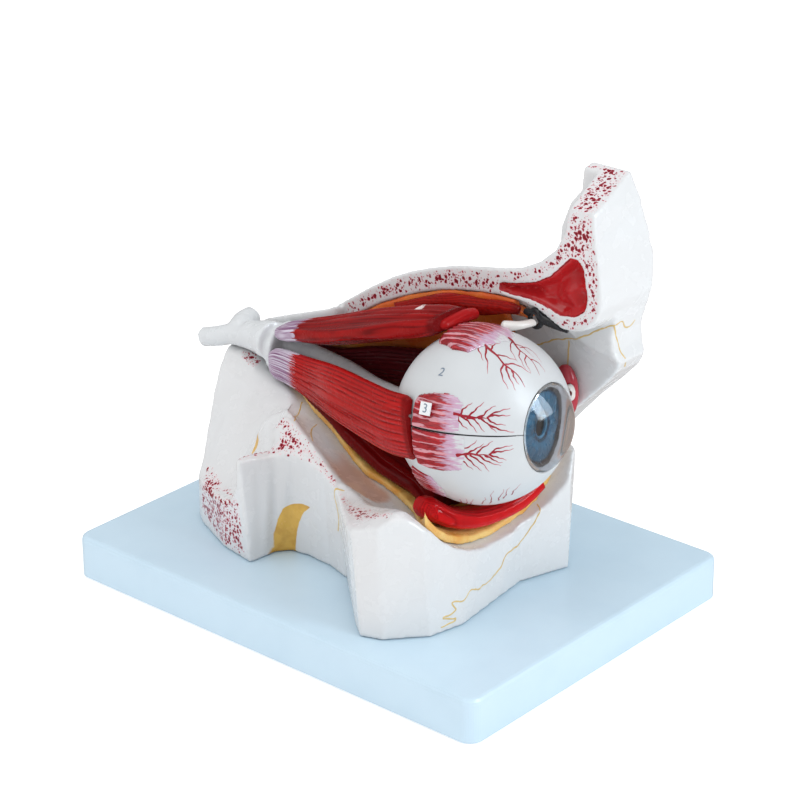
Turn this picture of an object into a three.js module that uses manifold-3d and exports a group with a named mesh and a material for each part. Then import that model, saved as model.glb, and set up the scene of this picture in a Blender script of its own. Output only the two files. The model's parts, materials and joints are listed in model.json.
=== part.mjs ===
// Eye anatomy model: a right eye at about four times life size in its bony orbit, on a moulded base.
// Millimetres. X runs along the base towards the front of the eye, Y towards the nose, Z up.
// The origin is the centre of the underside of the base.
import * as THREE from 'three';
import { mergeVertices } from 'three/addons/utils/BufferGeometryUtils.js';
import Module from 'manifold-3d';

const wasm = await Module();
wasm.setup();
const { Manifold } = wasm;
const rad = THREE.MathUtils.degToRad;
const vec = (x, y, z) => new THREE.Vector3(x, y, z);

// Clearance between pieces that touch
const gap = 0.35;

// Moulded base
const baseLength = 280;
const baseWidth = 208;
const baseTop = 24.4;
const baseCorner = 8;
const baseFillet = 3;
const baseWall = 3;
const basePlate = 4;
const rimHeight = 0.6;
const footRadius = 7;
const footHeight = 2.6;
const footInset = 16;
const footPadWall = 2;

// Screws that hold the bone castings down on the base
const screwRadius = 1.9;
const screwHeadRadius = 4;
const screwHeadHeight = 2.6;
const screwClearance = 0.5;
const screwBite = 14;
const bossWall = 4;
const bossFoot = 9;
const screwPlaces = [[-84, -38], [-84, 44], [52, -60], [40, 56]];

// Eyeball
const eyeCentre = vec(67.1, -8, 122.4);
const eyeRadius = 45.2;
const scleraWall = 3;
const choroidWall = 2.2;
const gazeYaw = 6.4;
const gazePitch = 5.1;
const splitRoll = -10.7;
const splitGap = 0.5;
const limbusRadius = 22.9;
const corneaRadius = 30;
const corneaWall = 1.4;
const irisThickness = 1.6;
const pupilRadius = 7.5;
const lensRadius = 13;
const lensThickness = 11;
const ciliaryDepth = 6;
const nerveHoleRadius = 5;
const stumpThickness = 2.2;
const eyeClearance = 0.8;

// Places beside the eyeball: offsets from its centre, counted from its surface towards one side
const lateralOf = (x, y, z) => [eyeCentre.x + x, eyeCentre.y - eyeRadius + y, eyeCentre.z + z];
const medialOf = (x, y, z) => [eyeCentre.x + x, eyeCentre.y + eyeRadius + y, eyeCentre.z + z];
const aboveEye = (x, y, z) => [eyeCentre.x + x, eyeCentre.y + y, eyeCentre.z + eyeRadius + z];
const belowEye = (x, y, z) => [eyeCentre.x + x, eyeCentre.y + y, eyeCentre.z - eyeRadius + z];

// Orbit: stations along X with the centre, half width, upper and lower half height of the hollow
// and how square its floor is; beside the eyeball they are the room left round it
const orbitApex = [
  { x: -94, y: 9, z: 113, half: 14, up: 14, down: 14, square: 2.1 },
  { x: -80, y: 8, z: 112, half: 18, up: 15, down: 16, square: 2.2 },
  { x: -60, y: 5, z: 112, half: 30, up: 19, down: 19, square: 3 },
  { x: -30, y: 1, z: 115, half: 43, up: 35, down: 29, square: 3.6 },
];
const orbitRoom = [
  { x: 0, y: -2, z: 116, side: 4.8, over: 1.8, under: -1.2, square: 4.4 },
  { x: 30, y: -5, z: 117, side: 13.8, over: 7.8, under: 4.8, square: 3.4 },
  { x: 60, y: -9, z: 118, side: 16.8, over: 9.8, under: 12.8, square: 2.2 },
  { x: 78, y: -10, z: 116, side: 16.8, over: 7.8, under: 14.3, square: 2.1 },
  { x: 92, y: -11, z: 114, side: 16.8, over: 5.8, under: 11.8, square: 2.1 },
  { x: 130, y: -14, z: 112, side: 16.8, over: 6.8, under: 6.8, square: 2.1 },
];
const orbitStations = [...orbitApex, ...orbitRoom.map(({ side, over, under, ...place }) => ({
  ...place, half: eyeRadius + side, up: eyeRadius + over, down: eyeRadius + under,
}))];
const roofSquareness = 3.6;
const liningWall = 4;
const liningFloorFront = 77;
const liningSideFront = 40;
const liningRoofFront = 58;
const liningSideTop = 158;
const liningFloorTop = 116;
const liningFillBack = -58;
const liningEdge = [
  [-78, 4], [-65, -2.6], [-51, -9.4], [-30, -15.8], [-10, -21.6], [12, -23], [23, -25], [39, -30.5], [50, -39],
  [58, -48], [74, -62], [74.6, 2], [liningFloorFront, 22],
];

// Plan of the lower bone: where the wall stands on the base, and where its upper edge lies
const wallPlan = [
  { foot: [-105.4, -43.3], head: [-103.5, -43.3] },
  { foot: [-96.9, -49.6], head: [-97, -50] },
  { foot: [-67.9, -62.7], head: [-70, -62] },
  { foot: [-43.9, -67], head: [-51, -66] },
  { foot: [-42.7, -58.5], head: [-48, -57] },
  { foot: [-42.1, -49.4], head: [-43, -48.5] },
  { foot: [-37, -42.6], head: [-34, -44.5] },
  { foot: [-25.3, -41], head: [-24, -43] },
  { foot: [-8.9, -42.3], head: [-11, -44] },
  { foot: [7.5, -47.2], head: [0, -47] },
  { foot: [44.6, -81.7], head: [38, -81] },
  { foot: [54.4, -89.3], head: [45, -85] },
  { foot: [65.8, -85.1], head: [60, -82] },
  { foot: [81.8, -66.6], head: [77, -66] },
  { foot: [86, -46.3], head: [79, -47] },
  { foot: [81.6, -12.2], head: [78, -13] },
  { foot: [78.9, 8.9], head: [80, 9] },
  { foot: [84.8, 28.5], head: [86, 28] },
  { foot: [88, 38], head: [88.5, 38] },
  { foot: [80, 48], head: [82, 50] },
  { foot: [58, 64], head: [62, 66] },
  { foot: [40, 71.5], head: [48, 71.5] },
  { foot: [-60, 71.5], head: [-60, 71.5] },
  { foot: [-104, 64], head: [-108, 62] },
  { foot: [-119, 42], head: [-125, 40] },
  { foot: [-121, 12], head: [-124, 12] },
  { foot: [-118, -8], head: [-119, -6] },
  { foot: [-113, -27], head: [-113, -27] },
];
const wallHeadHeight = 80;
const wallCrown = 125;

// Heights of the top of the lower bone at landmarks
const boneHeights = [
  [-104, -44, 50], [-96, -50, 50], [-84, -55, 50], [-68, -61, 53], [-59, -62, 57], [-66, -48, 62],
  [-72, -38, 68], [-112, -28, 68], [-117, -18, 92], [-119, -4, 109], [-100, -28, 76], [-95, -12, 97],
  [-82, -24, 80], [-70, -24, 84], [-62, -36, 82], [-49, -66, 81], [-48, -58, 80.5], [-43, -48, 80],
  [-55, -33, 94], [-44, -34, 96], [-33, -36, 93], [-22, -38, 87], [-10, -40, 81], [1, -43, 76], [10, -46, 75],
  [-31, -45, 81], [-22, -44, 80], [-12, -45, 78], [-1, -48, 73.5], [27, -54, 77.5], [44, -62, 83],
  [14, -47, 75], [-66, -30, 89], [-60, -22, 97],
  [-46, -26, 100], [-33, -28, 97], [-22, -30, 93], [-10, -32, 88], [1, -35, 83], [12, -38, 79],
  [62, -70, 90.5], [38, -82, 78], [45, -86, 79], [58, -84, 82], [30, -70, 77], [70, -74, 89],
  [78, -66, 82], [81, -57, 76], [84, -40, 80], [84, 0, 92], [88, 38, 90], [78, 50, 88], [50, 66, 84], [0, 60, 90],
  [-124, 20, 104], [-100, 8, 103], [-84, 0, 99], [-70, -6, 96], [-60, 20, 100], [-40, 0, 92], [0, 0, 88],
  [40, 0, 84], [-124, 45, 96], [-100, 60, 96],
];
const ridgeX = [-74, 24];
const ridgeY = [-76, -22];
const fineStep = 3.4;
const coarseStep = 7.5;
const finAbove = 80.5;
const finPlan = [
  [-54.5, -72], [-38, -72], [-38, -47], [-31, -41], [-42, -36.5], [-51, -47], [-54, -57],
];

// Side outline of the frontal bone at the saw cut, with the shift of each corner at the medial face
const cutY = 28;
const medialY = 72;
const openAbove = 150;
const roofTop = [
  { cut: [-66, 137.5], shift: [0, -18] }, { cut: [-56, 144.5], shift: [0, -18] },
  { cut: [-41.5, 154.5], shift: [0, -18] }, { cut: [-27, 163.5], shift: [0, -18] },
  { cut: [-13, 170.5], shift: [0, -18] }, { cut: [1, 176], shift: [0, -18] },
  { cut: [18, 181.5], shift: [0, -18] }, { cut: [35, 185], shift: [0, -17] },
  { cut: [51, 188], shift: [0, -15] }, { cut: [61, 190.5], shift: [-1, -12] },
  { cut: [73.5, 197], shift: [-4, -8] }, { cut: [83.5, 206], shift: [-6, -4] },
  { cut: [89, 217], shift: [-8, 0] }, { cut: [91.2, 231], shift: [-9, 12] }, { cut: [91.2, 250], shift: [-9, 0] },
];
const browFront = [
  { cut: [106.7, 250], shift: [-8, 0] }, { cut: [106.7, 231], shift: [-8, 12] },
  { cut: [108.3, 215], shift: [-1, 12] }, { cut: [110.7, 202], shift: [3, 9] },
  { cut: [112.5, 188], shift: [4, 6] }, { cut: [112.3, 180.6], shift: [3, 2] },
  { cut: [109.1, 173.3], shift: [3, 0] }, { cut: [102.6, 167.2], shift: [6, -1] },
  { cut: [96.1, 164.6], shift: [6, -2] }, { cut: [89, 164.4], shift: [6, -4] },
];
const roofUnderside = [
  [80.6, 168], [71.5, 172], [61, 173], [48, 173], [34.7, 171.4], [21, 169], [7.6, 165.6], [-6, 160.7],
  [-20, 154.5], [-34, 147.4], [-49, 138], [-66, 128],
].map((cut) => ({ cut, shift: [0, -22] }));
const topCut = [[20, 227], [67, 241.2], [67, 205], [80, 190]];
const crest = [
  [60, 186], [62, 205], [67.4, 218.6], [74.5, 227], [74.7, 232.4], [75, 237.6], [76.2, 239.9], [78.5, 241.5],
  [86, 250], [96, 250], [96, 192],
];
const crestY = [60, 67];
const browPlan = [[-140, cutY], [140, cutY], [140, 60], [117, 67], [106, medialY], [-140, medialY]];
const medialFrontY = 33;
const medialWall = [
  [52, 25], [58, 84], [66, 94], [82, 112], [98, 128], [108, 139], [112, 146], [109, 152], [108, 160],
  [111, 172], [100, 180], [60, 174], [17, 164], [-13, 153], [-41, 137], [-66, 120], [-94, 108], [-112, 101],
  [-125, 93], [-123, 60], [-119, 25],
];
const medialPlan = [
  [-140, medialFrontY], [76, medialFrontY], [84, 44], [140, 44], [140, 52], [113, 67], [104, medialY],
  [-96, medialY], [-140, 40],
];
const wing = [
  { cut: [-120, 60], shift: [0, 0] }, { cut: [-127, 111], shift: [2, -16] }, { cut: [-112, 120], shift: [0, -18] },
  { cut: [-94, 127], shift: [0, -18] }, { cut: [-66, 137.5], shift: [0, -18] }, { cut: [-60, 141], shift: [0, -18] },
  { cut: [-60, 90], shift: [0, 0] }, { cut: [-70, 60], shift: [0, 0] },
];
const wingY = [21, 66];

// Lines along which the castings meet, seen from the side and from the front
const frontalSuture = [
  [140, 178], [110, 167.5], [94, 158], [73, 147], [40, 145], [-20, 134], [-52, 128], [-58, 134],
  [-62, 150], [-62, 260], [140, 260],
];
const nasalSuture = [[140, 100], [66, 91], [20, 96], [-20, 98], [-56, 100], [-56, 140], [-30, 260], [140, 260]];
const sphenoidSuture = -26;
const cheekSuture = [[-100, 20], [-66, 27], [-50, 33], [-36, 38.5], [-18, 43], [-4, 50], [10, 57], [16, 64], [22, 120],
  [-100, 120]];
const cheekBack = 1;

// Frontal sinus
const sinusOutline = [
  [47.9, 179.2], [47.6, 175.6], [54.6, 175], [67.6, 175.4], [77.3, 174], [87, 171.5], [96.5, 173.2],
  [102, 177.4], [103.7, 184.3], [101.9, 191.8], [100.8, 199.6], [97.5, 203.5], [92.5, 203.4], [86.4, 197],
  [80.1, 190.6], [70.6, 185], [57.7, 181.1],
];
const sinusDepth = 15;
const sinusRecess = 3;

// Optic nerve and chiasm, as centre points with radii
const nervePath = [
  [-138.4, -2.6, 109, 5.4], [-128, -1.6, 112, 5.7], [-119, 0.4, 115, 6], [-107, 3, 116, 7.6],
  [-95, 7, 114.5, 9], [-84, 12, 113, 5.4], [-40, 6, 114, 5.4], [-8, -6, 116, 5.6], [17.5, -12.5, 118, 6],
];
const chiasmPath = [[-121.5, 7.6, 118, 5.2], [-121, 12, 119, 5.8], [-120, 18, 120, 5.8]];
const ringBack = -90;
const ringFront = -86;
const ringRadius = 14.5;

// Muscles: stations with a centre, half width, half thickness and the turn of the width about the run
const lateralRectus = [
  { at: [-85, 2, 107], wide: 6.6, thick: 2.8 }, { at: [-74, -0.5, 108], wide: 8.4, thick: 3.6 },
  { at: [-52, -9, 110], wide: 11.8, thick: 4.4 }, { at: [-20, -22, 114.5], wide: 15, thick: 5 },
  { at: lateralOf(-55.1, 18.7, -3.9), wide: 16.2, thick: 5 },
  { at: lateralOf(-30.1, 8.7, 0.2), wide: 16.8, thick: 4.6 },
  { at: lateralOf(-14.1, 3.7, 4.2), wide: 16.6, thick: 4.2 },
];
const superiorRectus = [
  { at: [-84.5, 9, 123.6], wide: 7.5, thick: 3 }, { at: [-72, 7.5, 127.5], wide: 9, thick: 5 },
  { at: [-47, 4, 135.5], wide: 13, thick: 7 }, { at: [-21, 1, 145.3], wide: 16, thick: 7.6 },
  { at: aboveEye(-65.1, 6, -13.6), wide: 17.5, thick: 7.4 },
  { at: aboveEye(-45.1, 4, -6.6), wide: 17.5, thick: 6.8 },
  { at: aboveEye(-31.1, 3, -2), wide: 17, thick: 6 }, { at: aboveEye(-24.5, 3, 0.4), wide: 15.5, thick: 4.6 },
];
const medialRectus = [
  { at: [-84, 20, 110], wide: 6, thick: 2.6 }, { at: [-60, 23, 107.5], wide: 8, thick: 4 },
  { at: [-35, 29, 110.5], wide: 10.5, thick: 4.6 }, { at: [-8, 34, 113], wide: 12, thick: 4.6 },
  { at: medialOf(-47.1, 0.8, -5.4), wide: 13.5, thick: 4.2 },
  { at: medialOf(-23.1, 2.8, -2.9), wide: 13.5, thick: 3.6 },
];
const inferiorRectus = [
  { at: [-84, 9, 102.5], wide: 6, thick: 2.4 }, { at: [-70, 6, 101.5], wide: 7, thick: 3.4 },
  { at: [-52, 1.5, 98.5], wide: 12, thick: 4.4 }, { at: [-36, -1, 94], wide: 13.5, thick: 5.2 },
  { at: [-20, -3, 89.5], wide: 16, thick: 6 }, { at: belowEye(-57.1, 3, 2.8), wide: 18.5, thick: 6.5 },
  { at: belowEye(-33.1, 1, -1.7), wide: 18, thick: 6 }, { at: belowEye(-17.1, -4, -5.7), wide: 18, thick: 4.5 },
];
const inferiorOblique = [
  { at: belowEye(-11.7, -37, 6.6), wide: 4.5, thick: 3.4 }, { at: belowEye(-10.1, -34, 3.8), wide: 8, thick: 6 },
  { at: belowEye(-4.1, -25, -3.2), wide: 8.5, thick: 5.5 }, { at: belowEye(-0.1, -12, -7.7), wide: 8.5, thick: 5 },
  { at: belowEye(2.9, 4, -8.7), wide: 8.5, thick: 4.6 }, { at: belowEye(4.9, 20, -7.2), wide: 8.5, thick: 4.6 },
  { at: belowEye(6.9, 34, -0.7), wide: 8, thick: 4.6 },
];
const superiorOblique = [
  [-84.5, 18.6, 119.6, 2.4], [-70, 21, 123, 3], [-56, 23.5, 127, 4], [-40, 26, 137, 5],
  [...aboveEye(-67.1, 35, -12.6), 5.2], [...aboveEye(-52.2, 34, -6.7), 5], [...aboveEye(-40.6, 34, -4.8), 5],
  [...aboveEye(-30, 34, -3.6), 4.8], [...aboveEye(-14.7, 34, 0), 3.6], [...aboveEye(-7.3, 34, 1), 2.8],
  [...aboveEye(-4.6, 34.4, 0.6), 2.4],
];
const obliqueTendon = [
  [...aboveEye(5.9, 33.5, -2.3), 2.6], [...aboveEye(6.1, 25, -2), 2.9], [...aboveEye(6.3, 18, -2.4), 3.4],
  [...aboveEye(6.3, 14.4, -3), 3.8],
];
const trochleaCentre = vec(...aboveEye(3.7, 36.8, -2.2));
const trochleaMajor = 4.4;
const trochleaMinor = 1.5;
const strapPath = [
  [...aboveEye(-3.4, 36.8, 0), 1.6], [...aboveEye(0.4, 36.8, 0), 2.2], [...aboveEye(4.9, 36.8, -0.6), 2.6],
  [...aboveEye(10.9, 37.5, -2), 2.6], [...aboveEye(16.9, 38, -3.2), 2.2], [...aboveEye(23.4, 38.5, -4.2), 1.6],
];
const stumpJoint = 1.6;
const pinRadius = 0.9;

// Lacrimal sac and the oval ring let into its front
const sacCentre = vec(...medialOf(9.9, 9.8, -2));
const sacRadii = vec(8, 5, 15.5);
const lacrimalRingShift = vec(5.3, -4, 1.9);
const lacrimalRingHalves = [3.2, 4.8];
const lacrimalRingBore = [1.1, 2.9];
const lacrimalRingLength = 3.4;

// Number plates
const plateSide = 6.5;
const plateThickness = 0.6;

const finishes = {
  base: { color: 0xbcd7e6, roughness: 0.35 },
  rubber: { color: 0x3a3d40, roughness: 0.9 },
  steel: { color: 0xb9bcc0, roughness: 0.35, metalness: 1 },
  bone: { color: 0xe9e7e3, roughness: 0.35 },
  lining: { color: 0xd8a94a, roughness: 0.45 },
  muscle: { color: 0x8e1f24, roughness: 0.35 },
  deepMuscle: { color: 0x5d1419, roughness: 0.4 },
  nerve: { color: 0xe6e4dc, roughness: 0.35 },
  tendon: { color: 0xd9d3da, roughness: 0.4 },
  black: { color: 0x1d1f22, roughness: 0.4 },
  mucosa: { color: 0xb5262f, roughness: 0.25 },
  sclera: { color: 0xf1efea, roughness: 0.25 },
  choroid: { color: 0x6e2a22, roughness: 0.5 },
  iris: { color: 0x2f6484, roughness: 0.4 },
  glass: { color: 0xdfe9ee, roughness: 0.05, transparent: true, opacity: 0.5 },
  plate: { color: 0xf4f4f2, roughness: 0.5 },
};

const model = new THREE.Group();

// Closed solid from a geometry, with its faces turned outwards
function solid(geometry) {
  const bare = new THREE.BufferGeometry();
  bare.setAttribute('position', geometry.getAttribute('position'));
  if (geometry.index) bare.setIndex(geometry.index);
  const merged = mergeVertices(bare, 1e-4);
  const points = merged.getAttribute('position').array;
  const index = merged.index.array;
  const corner = (i) => new THREE.Vector3().fromArray(points, 3 * i);
  const kept = [];
  let volume = 0;
  for (let i = 0; i < index.length; i += 3) {
    const [a, b, c] = [index[i], index[i + 1], index[i + 2]];
    if (a === b || b === c || c === a) continue;
    kept.push([a, b, c]);
    volume += corner(a).dot(corner(b).cross(corner(c)));
  }
  const triangles = kept.flatMap(([a, b, c]) => (volume < 0 ? [a, c, b] : [a, b, c]));
  return new Manifold(new wasm.Mesh({
    numProp: 3,
    vertProperties: new Float32Array(points),
    triVerts: new Uint32Array(triangles),
  }));
}

// The largest body of a solid, for a cut that leaves slivers
function largest(body) {
  const bodies = body.decompose();
  return bodies.reduce((best, next) => (next.volume() > best.volume() ? next : best));
}

function addMesh(name, body, finish, parent = model) {
  const mesh = body.getMesh();
  const geometry = new THREE.BufferGeometry();
  geometry.setAttribute('position', new THREE.BufferAttribute(mesh.vertProperties, mesh.numProp));
  geometry.setIndex(new THREE.BufferAttribute(mesh.triVerts, 1));
  geometry.computeVertexNormals();
  const node = new THREE.Mesh(geometry, new THREE.MeshStandardMaterial(finishes[finish]));
  node.name = name;
  parent.add(node);
  return node;
}

// Solid through a row of closed rings of points, with flat ends
function loft(rings) {
  const count = rings[0].length;
  const positions = rings.flat().flatMap((p) => [p.x, p.y, p.z]);
  const index = [];
  for (let r = 0; r + 1 < rings.length; r += 1) {
    for (let i = 0; i < count; i += 1) {
      const j = (i + 1) % count;
      const [a, b, c, d] = [r * count + i, r * count + j, (r + 1) * count + j, (r + 1) * count + i];
      index.push(a, b, c, a, c, d);
    }
  }
  [[rings[0], 0, false], [rings.at(-1), (rings.length - 1) * count, true]].forEach(([ring, first, last]) => {
    const centre = ring.reduce((sum, p) => sum.add(p), new THREE.Vector3()).divideScalar(count);
    const hub = positions.length / 3;
    positions.push(centre.x, centre.y, centre.z);
    for (let i = 0; i < count; i += 1) {
      const [a, b] = [first + i, first + ((i + 1) % count)];
      index.push(...(last ? [hub, a, b] : [hub, b, a]));
    }
  });
  const geometry = new THREE.BufferGeometry();
  geometry.setAttribute('position', new THREE.Float32BufferAttribute(positions, 3));
  geometry.setIndex(index);
  return solid(geometry);
}

// Closed outline moved inwards by a distance, corner by corner
function drawnIn(points, distance) {
  const turn = THREE.ShapeUtils.isClockWise(points.map(([x, y]) => new THREE.Vector2(x, y))) ? -1 : 1;
  return points.map((point, i) => {
    const here = new THREE.Vector2(...point);
    const before = here.clone().sub(new THREE.Vector2(...points.at(i - 1))).normalize();
    const after = new THREE.Vector2(...points[(i + 1) % points.length]).sub(here).normalize();
    const inward = new THREE.Vector2(-before.y - after.y, before.x + after.x).multiplyScalar(turn).normalize();
    const slant = Math.max(0.5, inward.dot(new THREE.Vector2(-before.y, before.x)) * turn);
    const moved = here.addScaledVector(inward, distance / slant);
    return [moved.x, moved.y];
  });
}

const shapeOf = (points) => new THREE.Shape(points.map(([x, y]) => new THREE.Vector2(x, y)));

// Prism standing on a plan outline, from one height to another
function upright(points, low, high) {
  return solid(new THREE.ExtrudeGeometry(shapeOf(points), { depth: high - low, bevelEnabled: false }))
    .translate([0, 0, low]);
}

// Prism across Y on a side outline given in X and Z
function sideways(points, near, far) {
  return solid(new THREE.ExtrudeGeometry(shapeOf(points), { depth: far - near, bevelEnabled: false }))
    .rotate([90, 0, 0]).translate([0, far, 0]);
}

// Solid between a side outline and the same outline shifted corner by corner further along Y
function between(corners, near, far) {
  const flat = corners.map(({ cut }) => new THREE.Vector2(...cut));
  const end = corners.map(({ cut, shift }) => new THREE.Vector2(cut[0] + shift[0], cut[1] + shift[1]));
  const count = corners.length;
  const positions = [...flat.flatMap((p) => [p.x, near, p.y]), ...end.flatMap((p) => [p.x, far, p.y])];
  const clockwise = THREE.ShapeUtils.isClockWise(flat);
  const index = [];
  for (let i = 0; i < count; i += 1) {
    const j = (i + 1) % count;
    const quad = [i, j, count + j, i, count + j, count + i];
    index.push(...(clockwise ? quad.reverse() : quad));
  }
  const cap = (outline) => THREE.ShapeUtils.triangulateShape(outline, []);
  cap(flat).forEach(([a, b, c]) => index.push(a, c, b));
  cap(end).forEach(([a, b, c]) => index.push(count + a, count + b, count + c));
  const geometry = new THREE.BufferGeometry();
  geometry.setAttribute('position', new THREE.Float32BufferAttribute(positions, 3));
  geometry.setIndex(index);
  return solid(geometry);
}

// Prism along X on an outline given in Y and Z
function lengthways(points, back, front) {
  return solid(new THREE.ExtrudeGeometry(shapeOf(points), { depth: front - back, bevelEnabled: false }))
    .rotate([90, 0, 90]).translate([back, 0, 0]);
}

function block(low, high) {
  const size = high.clone().sub(low);
  return solid(new THREE.BoxGeometry(size.x, size.y, size.z))
    .translate(low.clone().add(high).multiplyScalar(0.5).toArray());
}

function post(radius, x, y, low, high, sides = 20) {
  return solid(new THREE.CylinderGeometry(radius, radius, high - low, sides))
    .rotate([90, 0, 0]).translate([x, y, (low + high) / 2]);
}

// Round tube along points that carry their own radius
function tube(points, grow = 0, sides = 12, steps = 4) {
  const centres = new THREE.CatmullRomCurve3(points.map(([x, y, z]) => vec(x, y, z)), false, 'centripetal');
  const total = (points.length - 1) * steps;
  const up = vec(0, 0, 1);
  const rings = [];
  for (let s = 0; s <= total; s += 1) {
    const run = centres.getTangent(s / total);
    const side = new THREE.Vector3().crossVectors(up, run).normalize();
    const lift = new THREE.Vector3().crossVectors(run, side);
    const stretch = Math.min(Math.floor(s / steps), points.length - 2);
    const share = s / steps - stretch;
    const radius = THREE.MathUtils.lerp(points[stretch][3], points[stretch + 1][3], share) + grow;
    const centre = centres.getPoint(s / total);
    rings.push(Array.from({ length: sides }, (_, i) => {
      const angle = (2 * Math.PI * i) / sides;
      return centre.clone().addScaledVector(side, radius * Math.cos(angle))
        .addScaledVector(lift, radius * Math.sin(angle));
    }));
  }
  return loft(rings);
}

// Flattened belly through its stations; across gives the direction that its width lies in
function belly(stations, across, sides = 18, steps = 2) {
  const centres = new THREE.CatmullRomCurve3(stations.map(({ at }) => vec(...at)), false, 'centripetal');
  const total = (stations.length - 1) * steps;
  const rings = [];
  for (let s = 0; s <= total; s += 1) {
    const run = centres.getTangent(s / total);
    const flat = new THREE.Vector3().crossVectors(run, across).normalize();
    const wide = new THREE.Vector3().crossVectors(flat, run).normalize();
    const stretch = Math.min(Math.floor(s / steps), stations.length - 2);
    const share = s / steps - stretch;
    const blend = (key) => THREE.MathUtils.lerp(stations[stretch][key], stations[stretch + 1][key], share);
    const centre = centres.getPoint(s / total);
    rings.push(Array.from({ length: sides }, (_, i) => {
      const angle = (2 * Math.PI * i) / sides;
      const [c, d] = [Math.cos(angle), Math.sin(angle)];
      return centre.clone()
        .addScaledVector(wide, blend('wide') * Math.sign(c) * Math.abs(c) ** 0.7)
        .addScaledVector(flat, blend('thick') * Math.sign(d) * Math.abs(d) ** 0.7);
    }));
  }
  return loft(rings);
}

// Turned solid about the X axis; the profile lists distances along X and radii
function turned(profile, sides = 32) {
  const points = profile.map(([x, r]) => new THREE.Vector2(r, x));
  return solid(new THREE.LatheGeometry(points, sides)).rotate([0, 0, -90]);
}

// Points of an arc about the origin, from one angle off the X axis to another
function arc(radius, from, to, steps, centre = 0) {
  return Array.from({ length: steps + 1 }, (_, i) => {
    const angle = from + ((to - from) * i) / steps;
    return [centre + radius * Math.cos(angle), Math.max(0, radius * Math.sin(angle))];
  });
}

function ball(radius, centre) {
  return turned(arc(radius, 0, Math.PI, 20)).translate(centre.toArray());
}

function ringSolid(major, minor, sides = 20, tubeSides = 8) {
  return solid(new THREE.TorusGeometry(major, minor, tubeSides, sides));
}

// Hollow of the orbit, drawn in by an inset
function orbitHollow(inset, sides = 32) {
  const rings = orbitStations.map(({ x, y, z, half, up, down, square }) => (
    Array.from({ length: sides }, (_, i) => {
      const angle = (2 * Math.PI * i) / sides;
      const [c, d] = [Math.cos(angle), Math.sin(angle)];
      const power = 2 / (d > 0 ? roofSquareness : square);
      const height = (d > 0 ? up : down) - inset;
      return vec(x, y + (half - inset) * Math.sign(c) * Math.abs(c) ** power,
        z + height * Math.sign(d) * Math.abs(d) ** power);
    })
  ));
  return loft(rings);
}

// Smooth height over the plan through the landmarks, as a sum of one cone per landmark
function heightField(landmarks) {
  const blunt = 4;
  const cone = (x, y, [a, b]) => Math.hypot(x - a, y - b, blunt);
  const size = landmarks.length;
  const rows = landmarks.map(([x, y, z]) => [...landmarks.map((mark) => cone(x, y, mark)), 1, z]);
  rows.push([...landmarks.map(() => 1), 0, 0]);
  for (let i = 0; i <= size; i += 1) {
    const larger = (best, row, k) => (Math.abs(row[i]) > Math.abs(rows[best][i]) ? i + k : best);
    const pivot = rows.slice(i).reduce(larger, i);
    [rows[i], rows[pivot]] = [rows[pivot], rows[i]];
    rows.forEach((row, k) => {
      if (k === i || row[i] === 0) return;
      const share = row[i] / rows[i][i];
      for (let j = i; j <= size + 1; j += 1) row[j] -= share * rows[i][j];
    });
  }
  const weights = rows.map((row, i) => row[size + 1] / row[i]);
  return (x, y) => landmarks.reduce((sum, mark, i) => sum + weights[i] * cone(x, y, mark), weights[size]);
}

// Grid positions, close together between the two given values
function gridLines(low, high, closeFrom, closeTo) {
  const lines = [low];
  while (lines.at(-1) < high) {
    const here = lines.at(-1);
    lines.push(here + (here >= closeFrom && here < closeTo ? fineStep : coarseStep));
  }
  return lines;
}

// Solid under a height field, over a grid of the plan
function hill(height, xs, ys) {
  const across = xs.length - 1;
  const along = ys.length - 1;
  const positions = [];
  const index = [];
  const at = (i, j) => i * (along + 1) + j;
  for (let i = 0; i <= across; i += 1) {
    for (let j = 0; j <= along; j += 1) {
      positions.push(xs[i], ys[j], height(xs[i], ys[j]));
    }
  }
  const floor = positions.length / 3;
  for (let k = 0; k < floor; k += 1) positions.push(positions[3 * k], positions[3 * k + 1], 0);
  for (let i = 0; i < across; i += 1) {
    for (let j = 0; j < along; j += 1) {
      const [a, b, c, d] = [at(i, j), at(i + 1, j), at(i + 1, j + 1), at(i, j + 1)];
      index.push(a, b, c, a, c, d);
      index.push(floor + a, floor + c, floor + b, floor + a, floor + d, floor + c);
    }
  }
  const rim = [];
  for (let i = 0; i < across; i += 1) rim.push(at(i, 0));
  for (let j = 0; j < along; j += 1) rim.push(at(across, j));
  for (let i = across; i > 0; i -= 1) rim.push(at(i, along));
  for (let j = along; j > 0; j -= 1) rim.push(at(0, j));
  rim.forEach((a, k) => {
    const b = rim[(k + 1) % rim.length];
    index.push(a, floor + a, floor + b, a, floor + b, b);
  });
  const geometry = new THREE.BufferGeometry();
  geometry.setAttribute('position', new THREE.Float32BufferAttribute(positions, 3));
  geometry.setIndex(index);
  return solid(geometry);
}

function roundedPlan(length, width, corner) {
  const shape = new THREE.Shape();
  const [x, y] = [length / 2, width / 2];
  shape.moveTo(-x + corner, -y);
  shape.lineTo(x - corner, -y);
  shape.absarc(x - corner, -y + corner, corner, -Math.PI / 2, 0, false);
  shape.lineTo(x, y - corner);
  shape.absarc(x - corner, y - corner, corner, 0, Math.PI / 2, false);
  shape.lineTo(-x + corner, y);
  shape.absarc(-x + corner, y - corner, corner, Math.PI / 2, Math.PI, false);
  shape.lineTo(-x, -y + corner);
  shape.absarc(-x + corner, -y + corner, corner, Math.PI, 1.5 * Math.PI, false);
  return shape;
}

const boneFoot = baseTop + gap;
const footPlaces = [[-1, -1], [1, -1], [1, 1], [-1, 1]]
  .map(([x, y]) => [x * (baseLength / 2 - footInset), y * (baseWidth / 2 - footInset)]);

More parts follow.
